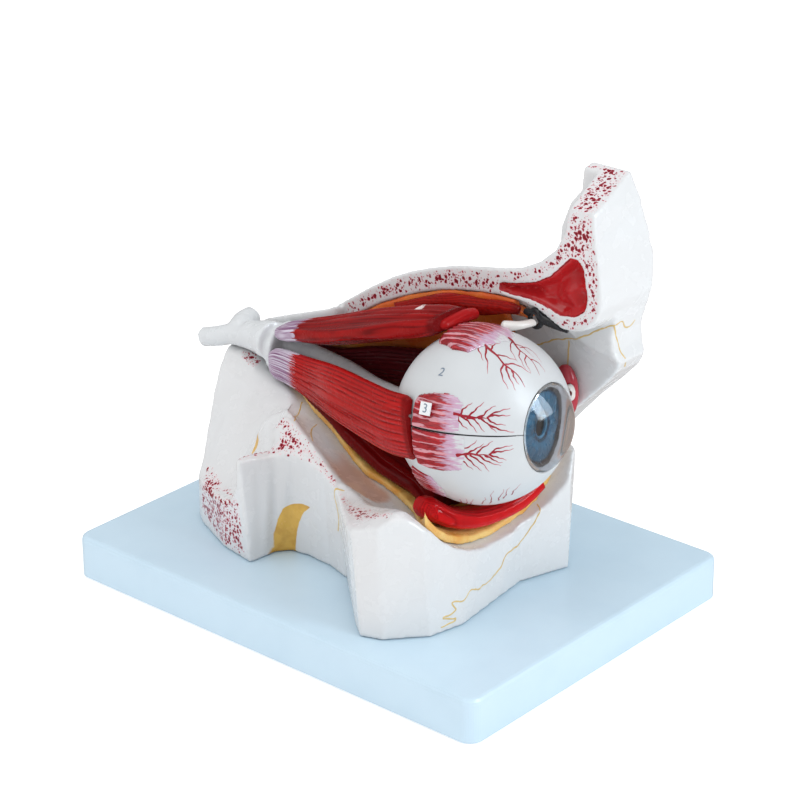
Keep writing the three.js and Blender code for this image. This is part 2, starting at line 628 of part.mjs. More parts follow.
function buildBase() {
  const outer = solid(new THREE.ExtrudeGeometry(
    roundedPlan(baseLength - 2 * baseFillet, baseWidth - 2 * baseFillet, baseCorner - baseFillet),
    { depth: baseTop, bevelThickness: baseFillet, bevelSize: baseFillet, bevelSegments: 3, curveSegments: 5 },
  )).translate([0, 0, -baseFillet]);
  const inner = solid(new THREE.ExtrudeGeometry(
    roundedPlan(baseLength - 2 * baseWall, baseWidth - 2 * baseWall, baseCorner - baseWall),
    { depth: baseTop - basePlate + baseFillet, bevelEnabled: false, curveSegments: 5 },
  )).translate([0, 0, -baseFillet]);
  let shell = outer.subtract(inner);
  footPlaces.forEach(([x, y]) => {
    shell = shell.add(post(footRadius + footPadWall, x, y, footHeight + gap, baseTop - basePlate / 2));
  });
  screwPlaces.forEach(([x, y]) => {
    const bore = screwRadius + screwClearance;
    shell = shell.add(post(bore + bossWall, x, y, bossFoot, baseTop - basePlate / 2))
      .subtract(post(bore, x, y, bossFoot - 1, baseTop + 1));
  });
  const below = block(vec(-baseLength, -baseWidth, -2 * baseFillet), vec(baseLength, baseWidth, rimHeight));
  addMesh('base_shell', largest(shell.subtract(below)), 'base');
  footPlaces.forEach(([x, y], i) => {
    addMesh(`foot_${i + 1}`, post(footRadius, x, y, 0, footHeight), 'rubber');
  });
  screwPlaces.forEach(([x, y], i) => {
    const head = post(screwHeadRadius, x, y, bossFoot - gap - screwHeadHeight, bossFoot - gap);
    const shank = post(screwRadius, x, y, bossFoot - gap - 1, boneFoot + screwBite, 12);
    addMesh(`base_screw_${i + 1}`, head.add(shank), 'steel');
  });
}

function wholeBone() {
  const plan = (key, z) => wallPlan.map((corner) => vec(corner[key][0], corner[key][1], z));
  const walls = loft([plan('foot', boneFoot), plan('head', wallHeadHeight), plan('head', wallCrown)]);
  const xs = wallPlan.flatMap(({ foot, head }) => [foot[0], head[0]]);
  const ys = wallPlan.flatMap(({ foot, head }) => [foot[1], head[1]]);
  const top = hill(heightField(boneHeights), gridLines(Math.min(...xs) - 4, Math.max(...xs) + 4, ...ridgeX),
    gridLines(Math.min(...ys) - 4, Math.max(...ys) + 4, ...ridgeY));
  const lower = walls.intersect(top.add(upright(finPlan, 0, finAbove)));
  const tall = 300;
  const frontal = between([...roofTop, ...browFront, ...roofUnderside], cutY, medialY)
    .add(sideways(crest, ...crestY))
    .intersect(upright(browPlan, 0, tall))
    .subtract(lengthways([...topCut, [80, tall], [20, tall]], -tall, tall));
  const medial = sideways(medialWall, medialFrontY - 1, medialY + 1)
    .intersect(upright(medialPlan, boneFoot, tall));
  const lesserWing = between(wing, ...wingY);
  let bone = lower.add(frontal).add(medial).add(lesserWing)
    .subtract(orbitHollow(0))
    .subtract(tube(nervePath, gap))
    .subtract(tube(chiasmPath, gap));
  screwPlaces.forEach(([x, y]) => {
    bone = bone.subtract(post(screwRadius + gap, x, y, boneFoot - 1, boneFoot + screwBite + gap, 12));
  });
  return bone;
}

// Castings of the skull, parted along the sutures
function buildBones() {
  const far = 300;
  const bone = wholeBone();
  const seam = gap;
  const above = (outline, lift) => sideways(outline.map(([x, z]) => [x, z + lift]), -far, far);
  const frontalZone = above(frontalSuture, 0);
  const frontalPart = bone.intersect(frontalZone);
  const sinus = sideways(sinusOutline, cutY - 1, cutY + sinusDepth);
  addMesh('frontal_bone', largest(frontalPart.subtract(sinus)), 'bone');
  const lining = sideways(drawnIn(sinusOutline, gap), cutY + sinusRecess, cutY + sinusDepth - gap);
  addMesh('frontal_sinus_lining', largest(lining.intersect(frontalPart)), 'mucosa');
  const belowFrontal = bone.subtract(
    above(frontalSuture.map(([x, z]) => [x - seam, z]), -seam).add(frontalZone));
  const nasalZone = above(nasalSuture, 0);
  addMesh('nasal_wall', largest(belowFrontal.intersect(nasalZone)), 'bone');
  const belowNasal = belowFrontal.subtract(
    above(nasalSuture.map(([x, z]) => [x - seam, z]), -seam).add(nasalZone));
  const backZone = block(vec(-far, -far, -far), vec(sphenoidSuture, far, far));
  addMesh('sphenoid_bone', largest(belowNasal.intersect(backZone)), 'bone');
  const front = belowNasal.subtract(backZone.translate([seam, 0, 0]));
  const cheekZone = lengthways(cheekSuture, cheekBack, far);
  addMesh('zygomatic_bone', largest(front.intersect(cheekZone)), 'bone');
  const grownCheek = lengthways(cheekSuture.map(([y, z]) => [y + seam, z - seam]), cheekBack - seam, far);
  addMesh('maxilla', largest(front.subtract(grownCheek)), 'bone');
  return frontalPart;
}

// Room between the cut and the medial wall, from the underside of the roof down to a height
function underRoof(back, front, low) {
  const under = [...browFront.slice(-3), ...roofUnderside]
    .map(({ cut: [x, z], shift }) => ({ cut: [x, z - gap], shift }));
  const sides = [under.at(-1), under[0]].map(({ cut: [x], shift }) => ({ cut: [x, low], shift }));
  const far = 300;
  return between([...under, ...sides], cutY, medialY)
    .intersect(block(vec(back, cutY, low), vec(front, medialFrontY - gap, far)));
}

function buildLining() {
  const inner = orbitHollow(gap + liningWall);
  const shell = orbitHollow(gap).subtract(inner);
  const [back] = liningEdge[0];
  const far = 200;
  const floorZone = upright([...liningEdge, [liningFloorFront, far], [back, far]], 0, liningFloorTop);
  const sideZone = block(vec(back, cutY, 0), vec(liningSideFront, far, liningSideTop));
  const roofZone = block(vec(back, cutY, liningSideTop), vec(liningRoofFront, far, far));
  const fill = underRoof(liningFillBack, liningRoofFront, eyeCentre.z).subtract(inner)
    .subtract(block(vec(liningSideFront, cutY, 0), vec(far, far, liningSideTop)));
  addMesh('periorbita_lining', largest(shell.intersect(floorZone.add(sideZone).add(roofZone)).add(fill)
    .subtract(lacrimalSac(gap))), 'lining');
}

function buildNerve() {
  addMesh('optic_nerve', tube(nervePath).subtract(ball(eyeRadius + gap, eyeCentre)), 'nerve');
  addMesh('optic_chiasm', tube(chiasmPath).subtract(tube(nervePath, gap)), 'nerve');
}

function buildTendinousRing() {
  const { y, z } = orbitStations[0];
  const ring = turned([[ringBack, 0], [ringBack, ringRadius], [ringFront, ringRadius], [ringFront, 0]], 24)
    .translate([0, y, z]);
  addMesh('common_tendinous_ring',
    largest(ring.intersect(orbitHollow(gap)).subtract(tube(nervePath, gap))), 'nerve');
}

function buildMuscles() {
  const vertical = vec(0, 0, 1);
  const crosswise = vec(0, 1, 0);
  const room = orbitHollow(2 * gap + liningWall);
  const eye = ball(eyeRadius + stumpThickness + eyeClearance, eyeCentre);
  const bareEye = ball(eyeRadius + eyeClearance, eyeCentre);
  const nerve = tube(nervePath, gap);
  const lateral = belly(lateralRectus, vertical).subtract(bareEye).subtract(nerve);
  const superior = belly(superiorRectus, crosswise).subtract(bareEye).subtract(nerve).subtract(lateral);
  addMesh('lateral_rectus', largest(lateral), 'muscle');
  addMesh('superior_rectus', largest(superior), 'muscle');
  const medial = belly(medialRectus, vertical).intersect(room).subtract(eye).subtract(nerve);
  addMesh('medial_rectus', largest(medial), 'deepMuscle');
  const inferior = belly(inferiorRectus, crosswise).intersect(room).subtract(eye).subtract(nerve)
    .subtract(grown(lateralRectus, vertical)).subtract(grown(inferiorOblique, vec(1, 0, 0)));
  addMesh('inferior_rectus', largest(inferior), 'muscle');
  const oblique = belly(inferiorOblique, vec(1, 0, 0)).intersect(room).subtract(eye);
  addMesh('inferior_oblique', largest(oblique), 'muscle');
  const upperOblique = tube(superiorOblique).intersect(room.add(openSide())).subtract(eye);
  addMesh('superior_oblique', largest(upperOblique), 'deepMuscle');
}

// Open space on the lateral side of the saw cut, above the lower bone
function openSide() {
  const far = 300;
  return block(vec(-far, -far, openAbove), vec(far, cutY - gap, far));
}

// A muscle made larger all round by the clearance, to cut its neighbour
function grown(stations, across) {
  return belly(stations.map(({ at, wide, thick }) => ({ at, wide: wide + gap, thick: thick + gap })), across);
}

function buildTrochlea() {
  const ring = ringSolid(trochleaMajor, trochleaMinor, 18, 8)
    .rotate([90, 0, -12]).translate(trochleaCentre.toArray());
  const bore = post(trochleaMajor - trochleaMinor, 0, 0, -trochleaMajor, trochleaMajor)
    .rotate([90, 0, -12]).translate(trochleaCentre.toArray());
  const [browBack] = browFront.at(-3).cut;
  const room = orbitHollow(gap).add(openSide()).add(underRoof(liningRoofFront, browBack, eyeCentre.z));
  const muscle = tube(superiorOblique, gap);
  const band = ring.add(tube(strapPath).subtract(bore)).intersect(room).subtract(muscle);
  addMesh('trochlea', largest(band), 'black');
  const tendon = tube(obliqueTendon).subtract(ball(eyeRadius + gap, eyeCentre));
  addMesh('superior_oblique_tendon', largest(tendon), 'nerve');
}

function lacrimalSac(grow) {
  return solid(new THREE.SphereGeometry(1, 20, 14)).scale(sacRadii.clone().addScalar(grow).toArray())
    .translate(sacCentre.toArray());
}

function buildLacrimal() {
  const sac = lacrimalSac(0).intersect(orbitHollow(gap));
  const centre = sacCentre.clone().add(lacrimalRingShift);
  const back = centre.y + lacrimalRingLength / 2;
  const across = ([wide, tall], grow, near, far) => post(1, 0, 0, near, far, 18)
    .scale([wide + grow, tall + grow, 1]).rotate([-90, 0, 0]).translate([centre.x, 0, centre.z]);
  const ring = across(lacrimalRingHalves, 0, back - lacrimalRingLength, back);
  addMesh('lacrimal_sac', largest(sac.subtract(across(lacrimalRingHalves, gap, 0, back + gap))), 'mucosa');
  addMesh('lacrimal_ring', ring.subtract(across(lacrimalRingBore, 0, 0, 2 * back)), 'nerve');
}

// Eyeball, modelled about its own centre with X along the gaze and Z across the split
function buildEyeball() {
  const eye = new THREE.Group();
  eye.position.copy(eyeCentre);
  eye.rotation.set(rad(splitRoll), rad(-gazePitch), rad(gazeYaw), 'ZYX');
  model.add(eye);
  const far = 100;
  const halves = {
    upper: block(vec(-far, -far, splitGap / 2), vec(far, far, far)),
    lower: block(vec(-far, -far, -far), vec(far, far, -splitGap / 2)),
  };
  const scleraInner = eyeRadius - scleraWall;
  const mouth = Math.asin(limbusRadius / eyeRadius);
  const mouthX = eyeRadius * Math.cos(mouth);
  const backHole = (radius) => Math.PI - Math.asin(nerveHoleRadius / radius);
  const cup = (outer, wall, front) => turned([
    ...arc(outer, front, backHole(outer), 10),
    ...arc(outer - wall, front, backHole(outer - wall), 10).reverse(),
    arc(outer, front, backHole(outer), 10)[0],
  ]);
  const opening = turned([[0, 0], [0, limbusRadius], [2 * eyeRadius, limbusRadius], [2 * eyeRadius, 0]]);
  const sclera = cup(eyeRadius, scleraWall, mouth).subtract(opening);
  const choroidOuter = scleraInner - gap;
  const choroidFront = Math.asin((limbusRadius + 1) / choroidOuter) + 0.12;
  const choroid = cup(choroidOuter, choroidWall, choroidFront);
  Object.entries(halves).forEach(([half, zone]) => {
    addMesh(`sclera_${half}`, largest(sclera.intersect(zone)), 'sclera', eye);
    addMesh(`choroid_${half}`, largest(choroid.intersect(zone)), 'choroid', eye);
  });
  const corneaRim = limbusRadius - gap;
  const corneaCentre = mouthX - Math.sqrt(corneaRadius ** 2 - corneaRim ** 2);
  const domeAngle = Math.asin(corneaRim / corneaRadius);
  const innerRim = corneaRim - corneaWall;
  const innerAngle = Math.asin(innerRim / (corneaRadius - corneaWall));
  const skirt = mouthX - scleraWall;
  addMesh('cornea', turned([
    ...arc(corneaRadius, 0, domeAngle, 5, corneaCentre), [skirt, corneaRim], [skirt, innerRim],
    ...arc(corneaRadius - corneaWall, innerAngle, 0, 5, corneaCentre),
  ]), 'glass', eye);
  const irisFront = skirt - gap;
  const irisRim = limbusRadius - 1.5;
  const irisBack = irisFront - irisThickness;
  addMesh('iris', turned([
    [irisFront, pupilRadius], [irisFront, irisRim], [irisBack, irisRim], [irisBack, pupilRadius],
    [irisFront, pupilRadius],
  ]), 'iris', eye);
  const ciliaryFront = irisBack - gap;
  const ciliaryBack = ciliaryFront - ciliaryDepth;
  const ciliaryOuter = Math.sqrt((choroidOuter - choroidWall - 1) ** 2 - ciliaryFront ** 2);
  addMesh('ciliary_body', turned([
    [ciliaryFront, lensRadius + gap], [ciliaryFront, ciliaryOuter], [ciliaryBack, ciliaryOuter + 1],
    [ciliaryBack, lensRadius + gap], [ciliaryFront, lensRadius + gap],
  ]), 'choroid', eye);
  const lensMiddle = (ciliaryFront + ciliaryBack) / 2;
  const half = lensThickness / 2;
  const lensCurve = (lensRadius ** 2 + half ** 2) / (2 * half);
  const lensAngle = Math.asin(lensRadius / lensCurve);
  const lensShape = (grow) => turned([
    ...arc(lensCurve + grow, 0, lensAngle, 4, lensMiddle - lensCurve + half),
    ...arc(lensCurve + grow, lensAngle, 0, 4, lensCurve - half - lensMiddle).map(([x, r]) => [-x, r]),
  ]);
  const vitreousRadius = choroidOuter - choroidWall - 2 * gap;
  const lens = lensShape(0).subtract(block(vec(irisBack - gap, -far, -far), vec(far, far, far)));
  addMesh('lens', lens, 'glass', eye);
  const vitreous = turned(arc(vitreousRadius, 0, Math.PI, 16), 24)
    .subtract(block(vec(ciliaryBack - gap, -far, -far), vec(far, far, far)))
    .subtract(lensShape(gap));
  addMesh('vitreous_body', largest(vitreous), 'glass', eye);

  // Tendon stumps stand on the globe; the turn about the gaze starts at the top
  const coat = (grow) => ball(eyeRadius + gap + stumpThickness + grow, vec(0, 0, 0))
    .subtract(ball(eyeRadius + gap - grow, vec(0, 0, 0)));
  const stump = (outline, turn) => upright(outline, 15, far).rotate([turn, 0, 0]).intersect(coat(0));
  const lateral = stump([
    [-14.5, -20], [-14.5, 15], [-6, 18], [2, 18.3], [10, 16], [12, 8], [12, -19], [0, -20.5],
  ], 90);
  addMesh('lateral_stump_upper', largest(lateral.intersect(halves.upper)), 'muscle', eye);
  addMesh('lateral_stump_lower', largest(lateral.intersect(halves.lower)), 'muscle', eye);
  addMesh('superior_stump', largest(stump([
    [-17, -20], [-1, -25], [6, -24], [8, -12], [11.5, -8], [9, 0], [4, 8], [-4, 14], [-16, 10],
  ], 0)), 'muscle', eye);
  addMesh('medial_stump', largest(stump([[-12, -15], [10, -13], [10, 13], [-12, 15]], -90)
    .intersect(halves.lower)), 'muscle', eye);
  const lowStump = stump([[-20, -9], [-6, -10], [-2, 0], [-6, 9], [-20, 9]], 137);
  addMesh('inferior_stump', largest(lowStump), 'muscle', eye);

  // Locating pins and number plates on the lateral side
  [[5, 'upper'], [-12, 'lower']].forEach(([z, half_]) => {
    const y = -Math.sqrt((eyeRadius + gap + stumpThickness / 2) ** 2 - 16 ** 2 - z ** 2);
    const pin = solid(new THREE.CylinderGeometry(pinRadius, pinRadius, stumpJoint, 10)).rotate([0, 0, 90])
      .translate([-14.5 - gap - stumpJoint / 2, y, z]);
    addMesh(`muscle_pin_${half_}`, pin, 'steel', eye);
  });
  const plate = solid(new THREE.BoxGeometry(plateSide, plateThickness, plateSide));
  const plateZ = 10.9;
  const plateX = -4;
  const outerFace = eyeRadius + stumpThickness + 2 * gap;
  const tilt = THREE.MathUtils.radToDeg(Math.asin(plateZ / outerFace));
  const swing = THREE.MathUtils.radToDeg(Math.asin(-plateX / outerFace));
  addMesh('number_plate_3', plate.translate([0, -outerFace - plateThickness / 2 - 0.05, 0])
    .rotate([-tilt, 0, 0]).rotate([0, 0, -swing]), 'plate', eye);
}

buildBase();
buildBones();
buildLining();
buildNerve();
buildTendinousRing();
buildMuscles();
buildTrochlea();
buildLacrimal();
buildEyeball();

export default model;
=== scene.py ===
"""Looks of the eye anatomy model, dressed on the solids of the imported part.

Lengths are millimetres in the part's own frame: X towards the front of the eye, Y towards the nose, Z up
from the underside of the base. They become metres where a mesh is made.
"""

from __future__ import annotations

import json
import logging
import math
from dataclasses import dataclass, field
from enum import Enum
from typing import Sequence

import bmesh
import bpy
import numpy as np
from mathutils import Matrix, Vector
from mathutils.bvhtree import BVHTree
from mathutils.kdtree import KDTree

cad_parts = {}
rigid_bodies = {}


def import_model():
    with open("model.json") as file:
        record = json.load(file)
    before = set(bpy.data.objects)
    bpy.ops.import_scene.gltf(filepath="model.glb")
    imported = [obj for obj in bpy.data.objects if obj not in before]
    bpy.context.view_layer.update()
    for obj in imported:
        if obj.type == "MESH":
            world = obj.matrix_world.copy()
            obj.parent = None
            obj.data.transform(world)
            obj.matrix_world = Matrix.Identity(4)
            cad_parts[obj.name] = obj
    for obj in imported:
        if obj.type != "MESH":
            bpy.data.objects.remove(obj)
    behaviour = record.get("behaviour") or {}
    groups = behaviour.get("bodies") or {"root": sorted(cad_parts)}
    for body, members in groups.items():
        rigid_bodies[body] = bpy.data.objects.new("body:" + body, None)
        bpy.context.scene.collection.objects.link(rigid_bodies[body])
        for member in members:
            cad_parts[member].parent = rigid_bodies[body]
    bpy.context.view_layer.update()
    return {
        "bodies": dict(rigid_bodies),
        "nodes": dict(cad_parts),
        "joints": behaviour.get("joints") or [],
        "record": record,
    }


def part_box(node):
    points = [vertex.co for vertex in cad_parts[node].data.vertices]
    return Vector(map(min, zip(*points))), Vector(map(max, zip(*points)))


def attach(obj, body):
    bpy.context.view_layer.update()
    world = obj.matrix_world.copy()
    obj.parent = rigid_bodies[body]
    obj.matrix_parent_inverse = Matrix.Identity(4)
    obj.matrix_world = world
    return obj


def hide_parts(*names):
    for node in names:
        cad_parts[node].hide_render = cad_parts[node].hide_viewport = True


LOG = logging.getLogger("eye_model")
MM = 0.001
SOLID_SHARP = 32.0
RELAX_STEPS = (0.55, -0.57)
OUTSIDE = -5.0
Colour = tuple[float, float, float]
Point = tuple[float, float, float]
Outline = tuple[tuple[float, float], ...]
Rows = tuple[tuple[float, ...], ...]
Faces = list[tuple[int, ...]]
Piece = bpy.types.Object
Socket = bpy.types.NodeSocket


class Body(str, Enum):
    """Moving groups of the part."""

    STAND = "stand"
    EYE_LOWER = "eye_lower"
    EYE_UPPER = "eye_upper"
    EYE_INSIDE = "eye_inside"
    CORNEA = "cornea_cap"
    LATERAL = "lateral_muscle"
    SUPERIOR = "superior_muscle"


def linear(red: int, green: int, blue: int) -> Colour:
    """Scene-linear colour of an sRGB triple.

    Args:
        red: red, 0 to 255.
        green: green, 0 to 255.
        blue: blue, 0 to 255.

    Returns:
        The colour as three linear values.
    """
    def one(value: int) -> float:
        """One channel in linear light."""
        share = value / 255
        return share / 12.92 if share <= 0.04045 else ((share + 0.055) / 1.055) ** 2.4

    return one(red), one(green), one(blue)


@dataclass(frozen=True)
class Value:
    """Number in a node tree that ordinary arithmetic works on, with numbers, sockets and other values."""

    sheet: Sheet
    socket: Socket

    def __add__(self, other: object) -> Value:
        """Sum of the two."""
        return self.sheet.math("ADD", self, other)

    def __sub__(self, other: object) -> Value:
        """Difference of the two."""
        return self.sheet.math("SUBTRACT", self, other)

    def __mul__(self, other: object) -> Value:
        """Product of the two."""
        return self.sheet.math("MULTIPLY", self, other)


class Sheet:
    """Short calls for making and joining the nodes of a tree."""

    def __init__(self, tree: bpy.types.NodeTree) -> None:
        """Starts on a tree.

        Args:
            tree: the node tree to write in.
        """
        self.tree = tree

    def fill(self, node: bpy.types.Node, inputs: dict) -> None:
        """Sets or joins the inputs of a node.

        Args:
            node: the node.
            inputs: numbers, colours, sockets or values by input name or index.
        """
        for key, given in inputs.items():
            value = given.socket if isinstance(given, Value) else given
            if isinstance(value, Socket):
                self.tree.links.new(value, node.inputs[key])
            elif isinstance(value, tuple) and len(value) == 3 and node.inputs[key].type == "RGBA":
                node.inputs[key].default_value = (*value, 1.0)
            else:
                node.inputs[key].default_value = value

    def add(self, kind: str, inputs: dict | None = None, **settings: object) -> bpy.types.Node:
        """Adds a node and fills its inputs.

        Args:
            kind: the node's type, without the leading ShaderNode.
            inputs: what fill takes.
            settings: properties of the node.

        Returns:
            The new node.
        """
        node = self.tree.nodes.new("ShaderNode" + kind)
        for name, value in settings.items():
            setattr(node, name, value)
        self.fill(node, inputs or {})
        return node

    def math(self, operation: str, *values: object) -> Value:
        """Result of a Math node on numbers, sockets or values."""
        return Value(self, self.add("Math", dict(enumerate(values)), operation=operation).outputs[0])

    def fade(self, value: object, low: float, high: float, to_low: float = 0.0,
             to_high: float = 1.0) -> Value:
        """Smooth step of a value.

        Args:
            value: number or socket to map.
            low: value that gives to_low.
            high: value that gives to_high.
            to_low: result at low.
            to_high: result at high.

        Returns:
            The mapped value.
        """
        node = self.add("MapRange", {0: value, 1: low, 2: high, 3: to_low, 4: to_high},
                        interpolation_type="SMOOTHSTEP")
        return Value(self, node.outputs[0])

    def mix(self, share: object, first: object, second: object) -> Socket:
        """Colour between two colours.

        Args:
            share: part of the second colour, 0 to 1.
            first: colour or socket at 0.
            second: colour or socket at 1.

        Returns:
            The mixed colour's socket.
        """
        return self.add("Mix", {0: share, 6: first, 7: second}, data_type="RGBA").outputs[2]

    def place(self) -> Socket:
        """Object coordinates."""
        return self.add("TexCoord").outputs["Object"]

    def noise(self, scale: float, detail: float = 2.0, vector: Socket | None = None) -> Value:
        """Noise over the surface, from object coordinates unless a vector is given.

        Args:
            scale: how dense it is.
            detail: how many finer layers it has.
            vector: coordinates to use instead of the object's.

        Returns:
            The noise, 0 to 1.
        """
        vector = self.place() if vector is None else vector
        made = self.add("TexNoise", {"Vector": vector, "Scale": scale, "Detail": detail})
        return Value(self, made.outputs[0])

    def attribute(self, name: str) -> Value:
        """Number stored on the mesh's points."""
        return Value(self, self.add("Attribute", attribute_name=name).outputs["Fac"])

    def drawn_out(self, lines: object, length: float, across: Value, along: Value) -> Socket:
        """Coordinates that draw noise out into fibres.

        Args:
            lines: how dense the fibres are.
            length: how short they are.
            across: share of the width.
            along: share of the length.

        Returns:
            The vector's socket.
        """
        return self.add("CombineXYZ", {0: across * lines, 1: along * length}).outputs[0]

    def relief(self, shader: bpy.types.Node, height: object, strength: float, reach: float) -> None:
        """Joins a bump to a shader.

        Args:
            shader: the shader.
            height: the relief.
            strength: the bump's strength.
            reach: its height in metres.
        """
        bump = self.add("Bump", {"Strength": strength, "Distance": reach, "Height": height})
        self.fill(shader, {"Normal": bump.outputs[0]})


def new_group(name: str, inputs: dict[str, object],
              outputs: Sequence[str]) -> tuple[Sheet, dict, bpy.types.Node]:
    """Starts a shader node group.

    Args:
        name: the group's name.
        inputs: default values by socket name; a triple makes a colour socket.
        outputs: socket names; Colour is a colour, the others are numbers.

    Returns:
        A sheet on the group, its inputs as values by name and its output node.
    """
    tree = bpy.data.node_groups.new(name, "ShaderNodeTree")
    for socket, value in inputs.items():
        colour = isinstance(value, tuple)
        made = tree.interface.new_socket(socket, in_out="INPUT",
                                         socket_type="NodeSocketColor" if colour else "NodeSocketFloat")
        made.default_value = (*value, 1.0) if colour else value
    for socket in outputs:
        tree.interface.new_socket(socket, in_out="OUTPUT",
                                  socket_type="NodeSocketColor" if socket == "Colour" else "NodeSocketFloat")
    entry = tree.nodes.new("NodeGroupInput")
    sheet = Sheet(tree)
    values = {socket.name: Value(sheet, socket) for socket in entry.outputs}
    return sheet, values, tree.nodes.new("NodeGroupOutput")


class Effects:
    """Shader node groups that more than one material places."""

    def __init__(self) -> None:
        """Builds each group once."""
        self.mottle = self._mottle()
        self.fibres = self._fibres()

    @staticmethod
    def _mottle() -> bpy.types.NodeTree:
        """Cast plastic's unevenness: cloudy colour, patchy gloss and a faint orange peel.

        Returns:
            The group.
        """
        sheet, source, leave = new_group(
            "cast_mottle", {"Colour": (0.8, 0.8, 0.8), "Tint": (0.6, 0.55, 0.5), "Amount": 0.3, "Gloss": 0.3,
                            "Peel": 1.0}, ("Colour", "Roughness", "Height"))
        cloud = sheet.fade(sheet.noise(38.0, 4.0), 0.35, 0.75)
        sheet.fill(leave, {
            "Colour": sheet.mix(cloud * source["Amount"], source["Colour"], source["Tint"]),
            "Roughness": source["Gloss"] + sheet.fade(sheet.noise(120.0, 3.0), 0.3, 0.8, -0.06, 0.08),
            "Height": sheet.noise(900.0) * source["Peel"]})
        return sheet.tree

    @staticmethod
    def _fibres() -> bpy.types.NodeTree:
        """Muscle fibres: dark lines, painted shade in the grooves and at the front end, and a pale frayed
        tendon at one or both ends.

        Returns:
            The group.
        """
        sheet, source, leave = new_group(
            "muscle_fibres", {"Across": 0.0, "Along": 0.5, "Groove": 0.0, "Lines": 14.0,
                              "Flesh": (0.3, 0.01, 0.01), "Dark": (0.08, 0.004, 0.005),
                              "Tendon": (0.7, 0.65, 0.72), "Veil": (0.3, 0.12, 0.25),
                              "Start": 0.1, "End": 2.0, "Fray": 0.03}, ("Colour", "Height"))
        along = source["Along"]
        run = sheet.drawn_out(source["Lines"], 2.6, source["Across"], along)
        wide, thin = sheet.noise(1.0, 3.0, run), sheet.noise(3.1, 2.0, run)
        line = sheet.fade(thin, 0.56, 0.72)
        flesh = source["Flesh"]
        # darker by noise and the fibre lines; painted shade at the front end, and along Groove, which marks
        # the mesh's sunken grooves
        for darker in (sheet.fade(wide, 0.35, 0.8) * 0.4, line * 0.22, sheet.fade(along, 0.965, 0.99) * 0.6,
                       source["Groove"]):
            flesh = sheet.mix(darker, flesh, source["Dark"])
        here = along + (thin - 0.5) * source["Fray"] * 4.0
        tendon = sheet.math("MAXIMUM", sheet.math("LESS_THAN", here, source["Start"]),
                            sheet.math("GREATER_THAN", here, source["End"]))
        pale = sheet.mix(sheet.fade(wide * 0.6 + thin * 0.4, 0.44, 0.56), source["Tendon"], source["Veil"])
        sheet.fill(leave, {"Colour": sheet.mix(tendon, flesh, pale), "Height": line * -0.5 + wide * 0.5})
        return sheet.tree


def start_material(name: str) -> tuple[bpy.types.Material, Sheet, bpy.types.Node]:
    """Empty material with a Principled shader.

    Args:
        name: the material's name.

    Returns:
        The material, a sheet on its tree and the shader node.
    """
    made = bpy.data.materials.new(name)
    made.use_nodes = True
    made.node_tree.nodes.clear()
    sheet = Sheet(made.node_tree)
    shader = sheet.add("BsdfPrincipled")
    sheet.add("OutputMaterial", {0: shader.outputs[0]})
    return made, sheet, shader


@dataclass(frozen=True)
class Surface:
    """What a finish asks of the cast plastic under it, its relief and fixed values of its shader."""

    colour: object
    tint: Colour
    amount: float
    gloss: float = 0.3
    peel: float = 0.3
    height: object = None
    bump: float = 0.3
    reach: float = 0.0006
    fixed: dict[str, float] = field(default_factory=dict)

    def cast(self, sheet: Sheet, effects: Effects) -> bpy.types.Node:
        """Node of the shared cast plastic.

        Args:
            sheet: the material's tree.
            effects: the shared node groups.

        Returns:
            The group's node.
        """
        return sheet.add("Group", {"Colour": self.colour, "Tint": self.tint, "Amount": self.amount,
                                   "Gloss": self.gloss, "Peel": self.peel}, node_tree=effects.mottle)


class Finish:
    """Base of the finishes, each of which has a name and gives its surface."""

    name: str

    def surface(self, sheet: Sheet, effects: Effects) -> Surface:
        """Surface of this finish.

        Args:
            sheet: the material's tree.
            effects: the shared node groups.

        Returns:
            Its colour, gloss and relief.
        """
        raise NotImplementedError

    def material(self, effects: Effects) -> bpy.types.Material:
        """Material of this finish.

        Args:
            effects: the shared node groups.

        Returns:
            The new material.
        """
        made, sheet, shader = start_material(self.name)
        surface = self.surface(sheet, effects)
        cast = surface.cast(sheet, effects)
        sheet.fill(shader, {"Base Color": cast.outputs["Colour"], "Roughness": cast.outputs["Roughness"],
                            **surface.fixed})
        if surface.bump:
            height = cast.outputs["Height"] if surface.height is None else surface.height
            sheet.relief(shader, height, surface.bump, surface.reach)
        return made


@dataclass(frozen=True)
class CastPlastic(Finish):
    """Painted or moulded plastic with a slight unevenness."""

    name: str
    colour: Colour
    tint: Colour
    amount: float = 0.3
    gloss: float = 0.3
    peel: float = 1.0
    bump: float = 0.03
    metallic: float = 0.0
    coat: float = 0.0
    specular: float = 0.5

    def surface(self, sheet: Sheet, effects: Effects) -> Surface:
        """Surface as its fields say.

        Args:
            sheet: the material's tree.
            effects: the shared node groups.

        Returns:
            Its colour, gloss and relief.
        """
        return Surface(self.colour, self.tint, self.amount, self.gloss, self.peel, None, self.bump, 0.001,
                       {"Metallic": self.metallic, "Coat Weight": self.coat,
                        "Specular IOR Level": self.specular})


